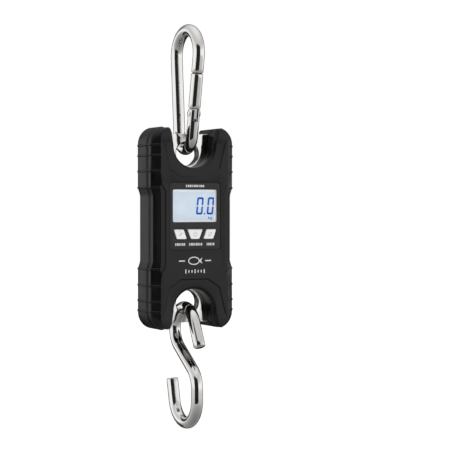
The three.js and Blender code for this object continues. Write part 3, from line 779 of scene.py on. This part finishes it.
def slanted(loop):
    """A loop leant over as the display's figures are."""
    return [(x + SEGMENT_SLANT * (z - DIGIT_LOW), z) for x, z in loop]


def nought_half(x, middle, side):
    """Half a nought as one loop: two legs from near its middle, joined at its far end."""
    leg, reach = DIGIT["width"] / 2, DIGIT["height"] / 2
    half, gap = DIGIT["stroke"] / 2, DIGIT["gap"]
    outer = [(leg - half, gap), (leg, gap - 0.2), (leg + half, gap),
             (leg + half, reach + half - 0.8), (leg + half - 0.8, reach + half)]
    inner = [(half - leg, reach - half - 0.35), (half - leg + 0.35, reach - half),
             (leg - half - 0.35, reach - half), (leg - half, reach - half - 0.35)]
    loop = outer + mirrored(outer) + inner
    return [(x + dx, middle + side * dz) for dx, dz in loop]


def segments(face):
    """Two noughts with a point between them, and the unit below the second."""
    middle = DIGIT_LOW + DIGIT["height"] / 2
    loops = [slanted(nought_half(x, middle, side)) for x in DIGIT_PLACES for side in (1, -1)]
    loops.append(slanted(rectangle_at(POINT_PLACE, DIGIT_LOW - 0.1, 0.5, 0.5)))
    loops += unit_mark(*UNIT_PLACE)
    flat_marks("display_segments", loops, face, 0.04, segment_ink(), "display_glass")


def stroke_loops(lines, stroke):
    return [bar(start, end, stroke) for start, end in lines]


def unit_mark(x, z):
    """The unit kg in plain strokes 2 mm high."""
    k = [((x, z), (x, z + 2)), ((x, z + 0.6), (x + 0.9, z + 1.4)),
         ((x + 0.35, z + 0.9), (x + 1, z))]
    g = [((x + 1.5, z + 1.3), (x + 2.3, z + 1.3)), ((x + 1.5, z), (x + 1.5, z + 1.3)),
         ((x + 1.5, z), (x + 2.3, z)), ((x + 2.3, z - 0.7), (x + 2.3, z + 1.3)),
         ((x + 1.5, z - 0.7), (x + 2.3, z - 0.7))]
    return stroke_loops(k + g, 0.34)


def flat_marks(name, loops, face, thick, material, slot, body="housing"):
    """Thin raised marks on a face that looks to -Y, all in one piece."""
    points, faces = [], []
    for loop in loops:
        for ring in loft(points, faces, [upright_ring(loop, y) for y in (face, face - thick)]):
            cap(points, faces, ring)
    return make_piece(name, points, faces, body, slot, material)


def ring_loops(x, z, radius, stroke, start, end, steps=14):
    """A ring's arc as short four-sided loops, between two angles in degrees."""
    loops = []
    for i in range(steps):
        a0 = math.radians(lerp(start, end, i / steps))
        a1 = math.radians(lerp(start, end, (i + 1) / steps))
        corners = []
        for r, a in ((radius - stroke / 2, a0), (radius + stroke / 2, a0),
                     (radius + stroke / 2, a1), (radius - stroke / 2, a1)):
            corners.append((x + r * math.cos(a), z + r * math.sin(a)))
        loops.append(corners)
    return loops


def key_icons():
    """Each key's plain pictogram: three rules, a power mark, and two arrows."""
    middle = (KEY_TOP + KEY_BOTTOM) / 2
    power = ring_loops(0, middle, 1.35, 0.32, 125, 415)
    power += stroke_loops([((0, middle + 0.2), (0, middle + 2.0))], 0.32)
    rules = [rectangle_at(-11 + dx, middle + dx, 0.95, 0.14) for dx in (-0.7, 0, 0.7)]
    arrows = stroke_loops([((9.7, middle + 0.6), (12.5, middle + 0.6)),
                           ((12.5, middle + 0.6), (11.6, middle + 1.5)),
                           ((9.7, middle - 0.7), (12.5, middle - 0.7)),
                           ((9.7, middle - 0.7), (10.6, middle - 1.6))], 0.3)
    return {"button_left": rules, "button_centre": power, "button_right": arrows}


def key_pieces():
    """Three keys with crowned edges, a flange below each, and its pictogram on it."""
    grey = ink("key_icon", (0.42, 0.43, 0.45))
    proud_face = (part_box("button_left")[0].y - CENTRE.y) / MM
    flange_front, flange_back = FRONT + 2.1, FRONT + 3.2
    for name, icon in key_icons().items():
        plate_piece(f"{name}_key", key_loop(name), [],
                    rounded_profile(proud_face, flange_front + 0.4, 0.45, 5), name,
                    "silver_key", KEY, [name])
        plate_piece(f"{name}_flange", key_loop(name, 0.95), [],
                    rounded_profile(flange_front, flange_back, 0.15, 2), name, "silver_key", KEY)
        flat_marks(f"{name}_icon", icon, proud_face + 0.005, 0.03, grey, "silver_key", name)


def ribbon(points, stroke):
    """A band of even width along a line of points, as one loop."""
    left, right = [], []
    last = len(points) - 1
    for i, point in enumerate(points):
        along = Vector(points[min(i + 1, last)]) - Vector(points[max(i - 1, 0)])
        side = Vector((along.y, -along.x)).normalized() * (stroke / 2)
        left.append(tuple(Vector(point) + side))
        right.append(tuple(Vector(point) - side))
    return left + right[::-1]


def fish_outline(x, z, length, height):
    """A plain fish pictogram: an open body drawn with one line, and a solid forked tail."""
    body = []
    steps = 32
    for i in range(steps + 1):
        angle = math.radians(lerp(12, 348, i / steps))
        along = x + length * 0.14 - length * 0.36 * math.cos(angle + math.pi) - length * 0.22
        body.append((along, z + height / 2 * math.sin(angle)))
    tail = [(x + length * 0.25, z + 0.3), (x + length / 2, z + height * 0.42),
            (x + length * 0.41, z), (x + length / 2, z - height * 0.42),
            (x + length * 0.25, z - 0.3)]
    return [ribbon(body, 0.7), tail]


def tally(x, z, width, height, count):
    """A row of small blocks, wide and narrow by turns, in place of a line of print."""
    pitch = width / count
    first = x - width / 2 + pitch / 2
    return [rectangle_at(first + pitch * i, z, pitch * (0.38 if i % 3 else 0.24), height / 2)
            for i in range(count)]


TITLE_Z, KEY_PRINT_Z, EMBLEM_Z, TICKS_Z = 28.2, -10.6, -21.6, -28.6


def printed_marks():
    """White marks on the fascia and the shell: plain rules, ticks and pictograms."""
    white = ink("white_print", (0.72, 0.73, 0.73))
    loops = tally(-0.1, TITLE_Z, 14.2, 1.5, 9)
    for x, width, count in ((-11.2, 7.8, 6), (0.4, 10.2, 8), (11.6, 6.2, 5)):
        loops += tally(x, KEY_PRINT_Z, width, 1.7, count)
    flat_marks("fascia_print", loops, FASCIA_FACE + 0.004, 0.02, white, "fascia_film")
    emblem = fish_outline(0, EMBLEM_Z, 11, 4.8)
    emblem += [rectangle_at(side * 9.8, EMBLEM_Z, 2.2, 0.4) for side in (1, -1)]
    ticks = [rectangle_at(2.3 * i, TICKS_Z, 0.4, 1.3 if i % 3 == 0 else 0.85)
             for i in range(-3, 4)]
    flat_marks("shell_print", emblem + ticks, FRONT + 0.004, 0.02, white, "shell_plastic")


front_shell()
fascia()
display()
key_pieces()
printed_marks()

# ---------------- the back

door_low, door_high = (local(corner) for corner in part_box("battery_door"))
DOOR_HALF = door_high.x
DOOR_TOP, DOOR_BOTTOM, TAB_X = 29.6, -28.6, 10
TONGUE_HALF, TONGUE_HEIGHT = 4.6, 2.4
WELL_HALF, WELL_HEIGHT, WELL_FLOOR = 18.2, 27.2, 2.3
screw_boxes = [tuple(map(local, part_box(f"case_screw_{i}"))) for i in range(1, 5)]
SCREWS = [((low.x + high.x) / 2, (low.z + high.z) / 2) for low, high in screw_boxes]
SCREW_HEAD = (screw_boxes[0][1].x - screw_boxes[0][0].x) / 2
SCREW_TOP = screw_boxes[0][1].y


def door_opening(gap):
    """The door's recess seen from behind: a rectangle with a thumb notch and two tab slots."""
    side = DOOR_HALF + gap
    top, bottom = DOOR_TOP + gap, DOOR_BOTTOM - gap
    thumb, thumb_top = 6 + gap, top + 3.4
    inner, outer, slot_end = TAB_X - 2.4, TAB_X + 2.4, bottom - 2.1
    slot = [(inner, bottom), (inner, slot_end), (outer, slot_end), (outer, bottom)]
    right = [(side, bottom), (side, top), (thumb, top), (thumb, thumb_top)]
    return rounded_loop(right + mirrored(right) + mirrored(slot) + slot, 0.8, 3)


def rear_shell():
    """The rear shell: the door's recess with the cell well in it, and four screw wells."""
    recess_floor = 2.1
    opening = door_opening(0.4)
    well_loop = []
    for x, z in opening:
        scale = max(abs(x) / WELL_HALF, abs(z) / WELL_HEIGHT)
        well_loop.append((x / scale, z / scale))
    wells = [[
        (opening, 0.0), (offset_loop(opening, -0.08), 0.1), (offset_loop(opening, -0.1), 0.3),
        (offset_loop(opening, -0.12), recess_floor), (well_loop, recess_floor + 0.02),
        (offset_loop(well_loop, -0.02), BACK - WELL_FLOOR), None,
    ]]
    shell = shell_piece("shell_rear", BACK, REAR_SEAM, PLATE_FACE + 0.4, False, wells,
                        ["rear_shell"])
    sink_screw_wells(shell)


def skin_depth(x):
    """How far the rear skin lies below the back face, at a distance from the middle line."""
    inset = HALF_WIDTH - abs(x)
    for (edge, depth), (next_edge, next_depth) in zip(OUTER_RULE, OUTER_RULE[1:]):
        if edge <= inset <= next_edge:
            return lerp(depth, next_depth, (inset - edge) / (next_edge - edge))
    return OUTER_RULE[0][1] if inset < 0 else 0.0


def upright(x, z, radius, bottom, top):
    """A closed round bar along Y; top(x) gives where it ends."""
    points, faces = [], []
    loop = circle_loop(x, z, radius, 40)
    rings = loft(points, faces, [upright_ring(loop, bottom),
                                 [(px, top(px), pz) for px, pz in loop]])
    centre = len(points)
    points.append((x, top(x), z))
    upper = rings[1]
    faces += [(upper[i - 1], upper[i], centre) for i in range(len(upper))]
    faces.append(list(reversed(rings[0])))
    return mesh_from("upright", points, faces)


def sink_screw_wells(shell):
    """Gives a shell a tube under each screw well, and then cuts the wells through its skin."""
    solid = evaluated_mesh(shell)
    seat = SCREW_TOP - 2.3
    radius = SCREW_HEAD + 0.3
    tubes = [upright(x, z, radius + 0.9, seat - 1, lambda px: BACK - skin_depth(px) - 0.4)
             for x, z in SCREWS]
    wells = [upright(x, z, radius, seat, lambda px: BACK + 2) for x, z in SCREWS]
    solid = cut(cut(solid, tubes, "UNION"), wells)
    solid.set_sharp_from_angle(angle=math.radians(32))
    shell.modifiers.clear()
    shell.data = solid


RIDGE = 0.55
RIDGE_ARCH = ((-1, 0), (-0.7, 0.55), (-0.25, 0.95), (0.25, 0.95), (0.7, 0.55), (1, 0), (0, -0.4))


def battery_door():
    """The door's plate, with its latch tongue."""
    right = [(DOOR_HALF, DOOR_BOTTOM), (DOOR_HALF, DOOR_TOP), (TONGUE_HALF, DOOR_TOP),
             (TONGUE_HALF, DOOR_TOP + TONGUE_HEIGHT)]
    thick = (door_high.y - door_low.y) - 0.3
    plate_piece("door_panel", rounded_loop(right + mirrored(right), 0.7, 3), [],
                rounded_profile(BACK - thick, BACK, 0.25, 3), "door", "shell_plastic", PLASTIC,
                ["battery_door"])


def door_ridges():
    """Five arched finger ridges, shorter towards the middle of the door."""
    points, faces = [], []
    for row in range(5):
        z = DOOR_TOP - 3.2 - 2.1 * row
        reach = 7 - row * 0.5
        closed_loft(points, faces, [[(x, BACK - 0.1 + RIDGE * rise, z + RIDGE * across)
                                     for across, rise in RIDGE_ARCH] for x in (-reach, reach)])
    make_piece("door_ridges", points, faces, "door", "shell_plastic", PLASTIC)


def door_tabs():
    """Two tabs that hold the door's lower edge in the rear shell."""
    for side, word in ((1, "left"), (-1, "right")):
        loop = rounded_loop(rectangle_at(side * TAB_X, DOOR_BOTTOM - 0.1, 1.9, 0.85), 0.3, 3)
        plate_piece(f"door_tab_{word}", loop, [], rounded_profile(BACK - 1.75, BACK - 0.9, 0.15, 2),
                    "door", "shell_plastic", PLASTIC)


def case_screws():
    """Pan-head screws with a cross recess."""
    shank_end = screw_boxes[0][0].y
    for i, (x, z) in enumerate(SCREWS, start=1):
        points, faces = [], []
        profile = [(0.4, shank_end), (1.1, shank_end + 1.2), (1.2, SCREW_TOP - 2.1),
                   (SCREW_HEAD - 0.05, SCREW_TOP - 2.0), (SCREW_HEAD, SCREW_TOP - 1.85),
                   (SCREW_HEAD * 0.98, SCREW_TOP - 0.9), (SCREW_HEAD * 0.85, SCREW_TOP - 0.35),
                   (SCREW_HEAD * 0.7, SCREW_TOP - 0.12)]
        indices = loft(points, faces, [upright_ring(circle_loop(x, z, radius, 32), y)
                                       for radius, y in profile])
        faces.append(list(reversed(indices[0])))
        head_rim = indices[-1]
        cross = cross_loop(x, z, SCREW_HEAD * 0.58, 0.3)
        upper = upright_ring(cross, SCREW_TOP - 0.05)
        lower = [(lerp(x, cx, 0.7), SCREW_TOP - 1.1, lerp(z, cz, 0.7)) for cx, cz in cross]
        walls = loft(points, faces, [upper, lower])
        cap(points, faces, head_rim, [walls[0]])
        cap(points, faces, walls[1])
        make_piece(f"screw_{i}", points, faces, "housing", "plated_steel", PLATED,
                   [f"case_screw_{i}"])


def cross_loop(x, z, reach, half):
    """A plus sign about a point, anticlockwise."""
    corners = [(reach, -half), (reach, half), (half, half), (half, reach), (-half, reach),
               (-half, half), (-reach, half), (-reach, -half), (-half, -half), (-half, -reach),
               (half, -reach), (half, -half)]
    return [(x + cx, z + cz) for cx, cz in corners]


rear_shell()
battery_door()
door_ridges()
door_tabs()
case_screws()

# ---------------- the load plate

NECK_HALF, NECK_STRAIGHT, NECK_END = 14.5, 12, 19
PLATE_CORNER, PLATE_EDGE = 3.5, 0.35


def load_plate():
    """The polished spring plate: rounded edges and two eyes, with the milled neck between."""
    w, h = PLATE_HALF_WIDTH, PLATE_HALF_HEIGHT
    right = [(w, -h), (w, -NECK_END), (NECK_HALF, -NECK_STRAIGHT), (NECK_HALF, NECK_STRAIGHT),
             (w, NECK_END), (w, h)]
    outline = rounded_loop(right + mirrored(right), PLATE_CORNER, 8)
    eyes = [circle_loop(0, side * EYE_Z, EYE_RADIUS, 72) for side in (1, -1)]
    plate_piece("spring_plate", outline, eyes,
                rounded_profile(-PLATE_FACE, PLATE_FACE, PLATE_EDGE, 5),
                "housing", "polished_steel", STEEL, ["load_plate"],
                rounded_profile(-PLATE_FACE, PLATE_FACE, EYE_FILLET, 10))


def eye_walls():
    """The bored walls of both eyes: rougher than the plate's polished faces, and coloured dark as
    painted shade inside the bores.
    """
    # Dark base colour of the bore walls: painted shade, not the steel's own colour.
    bore_painted_shade = grained("bored_steel_painted_shade", (0.12, 0.115, 0.11), 0.38, metallic=1.0)
    straight, edge = PLATE_FACE - EYE_FILLET, PLATE_FACE - EYE_FILLET / 2
    half = [(EYE_WALL_PROUD, straight), (EYE_WALL_PROUD - 0.16, edge), (-0.5, edge)]
    section = [(inset, -y) for inset, y in reversed(half)] + half
    for side, word in ((1, "upper"), (-1, "lower")):
        points, faces = [], []
        loft(points, faces, [upright_ring(circle_loop(0, side * EYE_Z, EYE_RADIUS - inset, 72), y)
                             for inset, y in section + section[:1]])
        make_piece(f"eye_wall_{word}", points, faces, "housing", "polished_steel", bore_painted_shade)


load_plate()
eye_walls()

# ---------------- bent wire

gate_joint = next(j for j in frame["joints"] if j["name"] == "gate_swing")
PIVOT = local(Vector(gate_joint["pos_m"]))
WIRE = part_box("s_hook")[1].x / MM
FOOT, FOOT_RADIUS = Vector((-0.7, 62.5)), 9.3
CROWN, CROWN_RADIUS = Vector((-3.5, 116.5)), 16.3
GATE_LENGTH = 26.9
GATE_OPENS = math.radians(28)


def arc_points(centre, radius, start, end, steps):
    """Points (y, z) on an arc between two angles, in degrees."""
    angles = [math.radians(lerp(start, end, i / steps)) for i in range(steps + 1)]
    return [centre + Vector((math.cos(a), math.sin(a))) * radius for a in angles]


def line_points(start, end, steps):
    """The points between two ends that divide a line into equal steps."""
    return [start.lerp(end, i / steps) for i in range(1, steps)]


# How far past its path's end, and how much thinner, the wire is at each ring of its bevel.
WIRE_END = ((0.21, 0.08), (0.49, 0.315), (0.7, 0.7))
WIRE_SIDES = 32


def wire_solid(path):
    """Points and faces of round wire along a path of (y, z), with softly bevelled ends."""
    last = len(path) - 1
    stations = []
    for i, point in enumerate(path):
        along = (path[min(i + 1, last)] - path[max(i - 1, 0)]).normalized()
        stations.append((point, along, WIRE))
    (start, start_along, _), (end, end_along, _) = stations[0], stations[-1]
    for past, thinner in WIRE_END:
        stations.insert(0, (start - start_along * past, start_along, WIRE - thinner))
        stations.append((end + end_along * past, end_along, WIRE - thinner))
    rings = []
    for point, along, radius in stations:
        across = Vector((along.y, -along.x))
        ring = []
        for u, v in circle_loop(0, 0, radius, WIRE_SIDES):
            flat = point + across * u
            ring.append((v, flat.x, flat.y))
        rings.append(ring)
    points, faces = [], []
    closed_loft(points, faces, rings)
    return points, faces


def leg_matrix():
    """From the gate's own axes, with Z up the leg and its origin at the pivot, to the frame."""
    top = CROWN + leg_normal(-1) * CROWN_RADIUS
    up = (top - Vector((PIVOT.y, PIVOT.z))).normalized()
    tilt = math.atan2(-up.x, up.y)
    return Matrix.Translation(at(0, PIVOT.y, PIVOT.z)) @ Matrix.Rotation(tilt, 4, "X")


def leg_normal(side):
    """The direction from the foot's or crown's centre to the leg (-1) or the spine (1)."""
    axis = CROWN - FOOT
    along = (FOOT_RADIUS - CROWN_RADIUS) / axis.length
    axis = axis.normalized()
    across = Vector((axis.y, -axis.x)) * side
    return axis * along + across * math.sqrt(1 - along * along)


LEG = leg_matrix()


def leg_box(x, y, z, turn=0.0):
    """A box in the gate's own axes, turned about the pivot, as a mesh in the frame."""
    corners = [(cx, cy, cz) for cx in x for cy in y for cz in z]
    mesh = bpy.data.meshes.new("box")
    faces = [(0, 1, 3, 2), (4, 6, 7, 5), (0, 4, 5, 1), (2, 3, 7, 6), (0, 2, 6, 4), (1, 5, 7, 3)]
    place = LEG @ Matrix.Rotation(turn, 4, "X")
    mesh.from_pydata([place @ (Vector(corner) * MM) for corner in corners], [], faces)
    return mesh


def leg_lathe(profile, axis="Z", sides=32):
    """A turned solid in the gate's own axes, about its X or Z axis, as a mesh in the frame.

    profile is a list of (radius, place along the axis).
    """
    rings = []
    for radius, along in profile:
        circle = circle_loop(0, 0, radius, sides)
        rings.append([(along, u, v) if axis == "X" else (u, v, along) for u, v in circle])
    points, faces = [], []
    indices = loft(points, faces, rings)
    faces += [indices[0], indices[-1]]
    return solid_mesh("turned", [LEG @ (Vector(point) * MM) for point in points], faces)


def soft_edges(piece, width=0.22, segments=3, angle=38):
    """Rounds a piece's edges that are sharper than an angle, so that they catch the light."""
    bevel = piece.modifiers.new("edges", "BEVEL")
    bevel.width = width * MM
    bevel.segments = segments
    bevel.limit_method = "ANGLE"
    bevel.angle_limit = math.radians(angle)
    bevel.harden_normals = True


def carabiner_path():
    """From the nose round the crown, down the spine, and round the foot to the bearing."""
    front, back = leg_normal(-1), leg_normal(1)
    front_angle = math.degrees(math.atan2(front.y, front.x)) % 360
    back_angle = math.degrees(math.atan2(back.y, back.x))
    leg_top = CROWN + front * CROWN_RADIUS
    leg_foot = FOOT + front * FOOT_RADIUS
    up = (leg_top - leg_foot).normalized()
    pivot = Vector((PIVOT.y, PIVOT.z))
    nose = pivot + up * (GATE_LENGTH + 1.1)
    bearing = pivot + up * 2.6
    path = [nose] + line_points(nose, leg_top, 4)
    path += arc_points(CROWN, CROWN_RADIUS, front_angle, back_angle, 44)
    spine_top = path[-1]
    path += line_points(spine_top, FOOT + back * FOOT_RADIUS, 12)
    path += arc_points(FOOT, FOOT_RADIUS, back_angle, front_angle - 360, 34)
    path += line_points(leg_foot, bearing, 6) + [bearing]
    return path


SHOULDER = 3.7


def carabiner_frame():
    """The bent frame, with its forked bearing, its nose and the spring's bore cut in it."""
    loop = mesh_from("carabiner_wire", *wire_solid(carabiner_path()))
    fork = leg_box((-1.6, 1.6), (-6, 6), (-4.9, 8))
    hole = leg_lathe([(1.7, -6), (1.7, 6)], "X")
    swing_room = leg_box((-6, 6), (-6, 12), (SHOULDER - 0.4, 12), -GATE_OPENS)
    bore = leg_lathe([(2.2, -14.5), (2.2, -3.1)])
    loop = cut(loop, [fork, hole, bore, swing_room])
    soft_edges(finish_piece(loop, "carabiner_loop", "carabiner", STEEL,
                            ["carabiner_frame"], 30))


def gate():
    """The gate: a round barrel with a flat heel on the rivet, and near-black rings at its ends as
    painted shade in the slits.
    """
    low, high = SHOULDER + 0.1, GATE_LENGTH - 0.2
    run = [(WIRE, lerp(low + 0.4, high - 0.4, i / 10)) for i in range(11)]
    barrel = leg_lathe([(WIRE - 0.4, low), (WIRE - 0.1, low + 0.1), *run,
                        (WIRE - 0.1, high - 0.1), (WIRE - 0.4, high)], "Z", 40)
    heel = leg_box((-1.25, 1.25), (-2.4, 2.4), (-3.2, SHOULDER + 1))
    bar = cut(cut(barrel, [heel], "UNION"), [leg_lathe([(1.7, -3), (1.7, 3)], "X")])
    soft_edges(finish_piece(bar, "gate_bar", "gate", STEEL,
                            ["carabiner_gate"], 30))
    # The near-black rings in the slits at the barrel's ends are painted shade for the deep gaps.
    seam = grained("gate_gap_painted_shade", (0.01, 0.01, 0.01), 0.7)
    for word, bottom, top in (("heel", SHOULDER - 0.2, low + 0.1),
                              ("nose", high - 0.1, GATE_LENGTH + 0.25)):
        ring = leg_lathe([(WIRE - 1.2, bottom), (WIRE - 0.75, bottom + 0.05),
                          (WIRE - 0.75, top - 0.05), (WIRE - 1.2, top)])
        finish_piece(ring, f"gate_gap_painted_shade_{word}", "gate", seam)


def gate_rivet():
    """The rivet through the fork, with a low domed head at each end."""
    head = [(0.4, 0.35), (1.3, 0.3), (1.9, 0.12), (2.0, -0.15), (1.45, -0.3)]
    profile = [(radius, -WIRE - past) for radius, past in head]
    profile += [(radius, WIRE + past) for radius, past in reversed(head)]
    finish_piece(leg_lathe(profile, "X"), "gate_rivet", "carabiner", STEEL,
                 ["gate_pin"], 40)


HOOK_TOP, HOOK_TOP_RADIUS = Vector((0.5, -68.5)), 15
HOOK_SHOULDER, HOOK_SHOULDER_RADIUS = Vector((-1.8, -107)), 15.5
HOOK_BOWL, HOOK_BOWL_RADIUS = Vector((-0.3, -114.6)), 17
TOP_ANGLE, TOP_RUN, BOWL_ANGLE, BOWL_RUN = 154.2, 18.6, -13.3, 15.2


def hook_path():
    """The S: a bow over the plate's rim, a crossing run, the load's bowl, and splayed ends."""
    axis = HOOK_SHOULDER - HOOK_TOP
    lean = math.degrees(math.acos((HOOK_TOP_RADIUS + HOOK_SHOULDER_RADIUS) / axis.length))
    leave = math.degrees(math.atan2(axis.y, axis.x)) + lean
    bow = arc_points(HOOK_TOP, HOOK_TOP_RADIUS, TOP_ANGLE, leave, 48)
    shoulder = arc_points(HOOK_SHOULDER, HOOK_SHOULDER_RADIUS, leave + 180, 180, 12)
    bowl = arc_points(HOOK_BOWL, HOOK_BOWL_RADIUS, 180, BOWL_ANGLE + 360, 42)
    start = math.radians(TOP_ANGLE)
    tip = bow[0] + Vector((-math.sin(start), math.cos(start))) * (TOP_RUN - 0.7)
    end = math.radians(BOWL_ANGLE)
    point = bowl[-1] + Vector((-math.sin(end), math.cos(end))) * (BOWL_RUN - 0.7)
    path = [tip] + line_points(tip, bow[0], 6) + bow
    path += line_points(bow[-1], shoulder[0], 6) + shoulder
    path += line_points(shoulder[-1], bowl[0], 3) + bowl
    path += line_points(bowl[-1], point, 5) + [point]
    return path


def s_hook():
    """The bent S hook, in one piece."""
    make_piece("hook_wire", *wire_solid(hook_path()), "hook", "polished_steel", STEEL,
               ["s_hook"], 40)


carabiner_frame()
gate()
gate_rivet()
s_hook()

# ---------------- what is inside

def dress(material, *names):
    """Gives CAD nodes a finish, and rounds their edges a little."""
    for name in names:
        node = NODES[name]
        node.data.materials.clear()
        node.data.materials.append(material)
        soft_edges(node, 0.12, 2, 40)


def cell_sleeve():
    """A printed battery sleeve: a dark band with a copper-coloured shoulder."""
    material = surface("cell_sleeve", (0.05, 0.12, 0.3), 0.32, 0.3, haze=((400,), 0.25, 0.38))
    ramp = height_ramp(material, ((0.0, (0.04, 0.10, 0.28)), (0.72, (0.55, 0.30, 0.14))))
    ramp.color_ramp.interpolation = "CONSTANT"
    link(material, ramp.outputs["Color"], shader_of(material).inputs["Base Color"])
    return material


def insides():
    """Finishes for the CAD nodes that are shown as they are."""
    dress(solder_mask(), "circuit_board")
    dress(grained("black_resin", (0.02, 0.02, 0.02), 0.5), "controller_chip", "switch_left",
          "switch_centre", "switch_right")
    dress(lit("diffuser", (0.85, 0.92, 1.0), 0.2, 0.05), "backlight")
    dress(grained("grey_rubber", (0.3, 0.31, 0.32), 0.75), "lcd_connector")
    dress(grained("gauge_foil", (0.5, 0.32, 0.12), 0.45, 1200), "strain_gauge_1",
          "strain_gauge_2")
    dress(cell_sleeve(), "battery_1", "battery_2", "battery_3")
    dress(SPRING, "battery_spring_1", "battery_spring_2", "battery_spring_3",
          "gate_spring")
    dress(PLATED, "contact_plus", "contact_minus", "contact_bridge_top",
          "contact_bridge_bottom", "gate_plunger", "plate_screw_1", "plate_screw_2",
          *(f"board_screw_{i}" for i in range(1, 5)))
    dress(grained("red_insulation", (0.45, 0.02, 0.015), 0.45), "battery_lead_red")
    dress(grained("black_insulation", (0.02, 0.02, 0.02), 0.45), "battery_lead_black",
          "gauge_cable")


insides()

# ---------------- studio and camera

AZIMUTH, ELEVATION = math.radians(-27), math.radians(1)
DISTANCE = 0.9
FRAME_WIDTH = 0.304
SHIFT_X, SHIFT_Y = 0.0884, 0.0067

# Brightness of the light all round, at fractions of the way from straight down to straight up.
SKY = greys((0.0, 0.2), (0.28, 0.36), (0.42, 0.6), (0.475, 1.0), (0.585, 1.0), (0.67, 0.72),
            (0.8, 0.6), (1.0, 0.9))
BACK_CARD = greys((0.0, 0.03), (0.62, 0.03), (1.0, 0.4))
FLOOR_DROP, FLOOR_REACH = 0.16, 6.0


def studio():
    """A pale floor below the hanging scale, light all round it, and dark cards to shape it.

    The cards show in the polished steel and keep light off the housing's chamfers, but the
    camera doesn't see them. The back card turns grey towards its top edge.
    """
    bpy.context.scene.view_settings.view_transform = "Standard"
    world = bpy.data.worlds.new("studio")
    world.use_nodes = True
    bpy.context.scene.world = world
    sky = height_ramp(world, SKY, lowest=-1)
    link(world, sky.outputs["Color"], world.node_tree.nodes["Background"].inputs["Color"])

    floor_z = min(node.bound_box[0][2] for node in NODES.values()) - FLOOR_DROP
    corners = rectangle(FLOOR_REACH, -FLOOR_REACH, FLOOR_REACH)
    paper = new_material("floor_paper", (0.97, 0.97, 0.97), 0.9, Emission_Strength=0.4,
                         Emission_Color=(1, 1, 1, 1))
    floor = sheet("floor", [(x, y, floor_z) for x, y in corners], paper)
    floor.visible_glossy = False

    black = new_material("black_card", (0.012, 0.012, 0.012), 0.9)
    dark_card("card_front", black, turn_left=35, distance=1.25, width=1.85,
              heights=(-0.5, 0.85))
    graded = new_material("graded_card", (0.03, 0.03, 0.03), 0.9)
    link(graded, height_ramp(graded, BACK_CARD).outputs["Color"],
         shader_of(graded).inputs["Base Color"])
    dark_card("card_back", graded, turn_left=207, distance=1.1, width=2.55,
              heights=(-1.1, 1.1))


def sheet(name, corners, material):
    """One flat four-cornered sheet of the studio."""
    mesh = bpy.data.meshes.new(name)
    mesh.from_pydata(corners, [], [(0, 1, 2, 3)])
    mesh.materials.append(material)
    stand = new_object(name, mesh)
    return stand


def dark_card(name, material, turn_left, distance, width, heights):
    """An upright card facing the scale, turned some degrees to the left of its front."""
    turn = math.radians(turn_left)
    toward = Vector((-math.sin(turn), -math.cos(turn), 0))
    side = Vector((-toward.y, toward.x, 0)) * (width / 2)
    middle = CENTRE + toward * distance
    low, high = (Vector((0, 0, height)) for height in heights)
    card = sheet(name, [middle - side + low, middle + side + low, middle + side + high,
                        middle - side + high], material)
    card.visible_camera = False
    card.visible_diffuse = False


def camera():
    """The camera: FRAME_WIDTH metres across at the scale, seen from DISTANCE."""
    back = Vector((math.sin(AZIMUTH) * math.cos(ELEVATION),
                   -math.cos(AZIMUTH) * math.cos(ELEVATION), math.sin(ELEVATION)))
    data = bpy.data.cameras.new("camera")
    data.sensor_width = 36
    data.lens = data.sensor_width * DISTANCE / FRAME_WIDTH
    data.shift_x, data.shift_y = SHIFT_X, SHIFT_Y
    eye = new_object("camera", data)
    eye.location = CENTRE + back * DISTANCE
    eye.rotation_euler = back.to_track_quat("Z", "Y").to_euler()
    bpy.context.scene.camera = eye


studio()
camera()
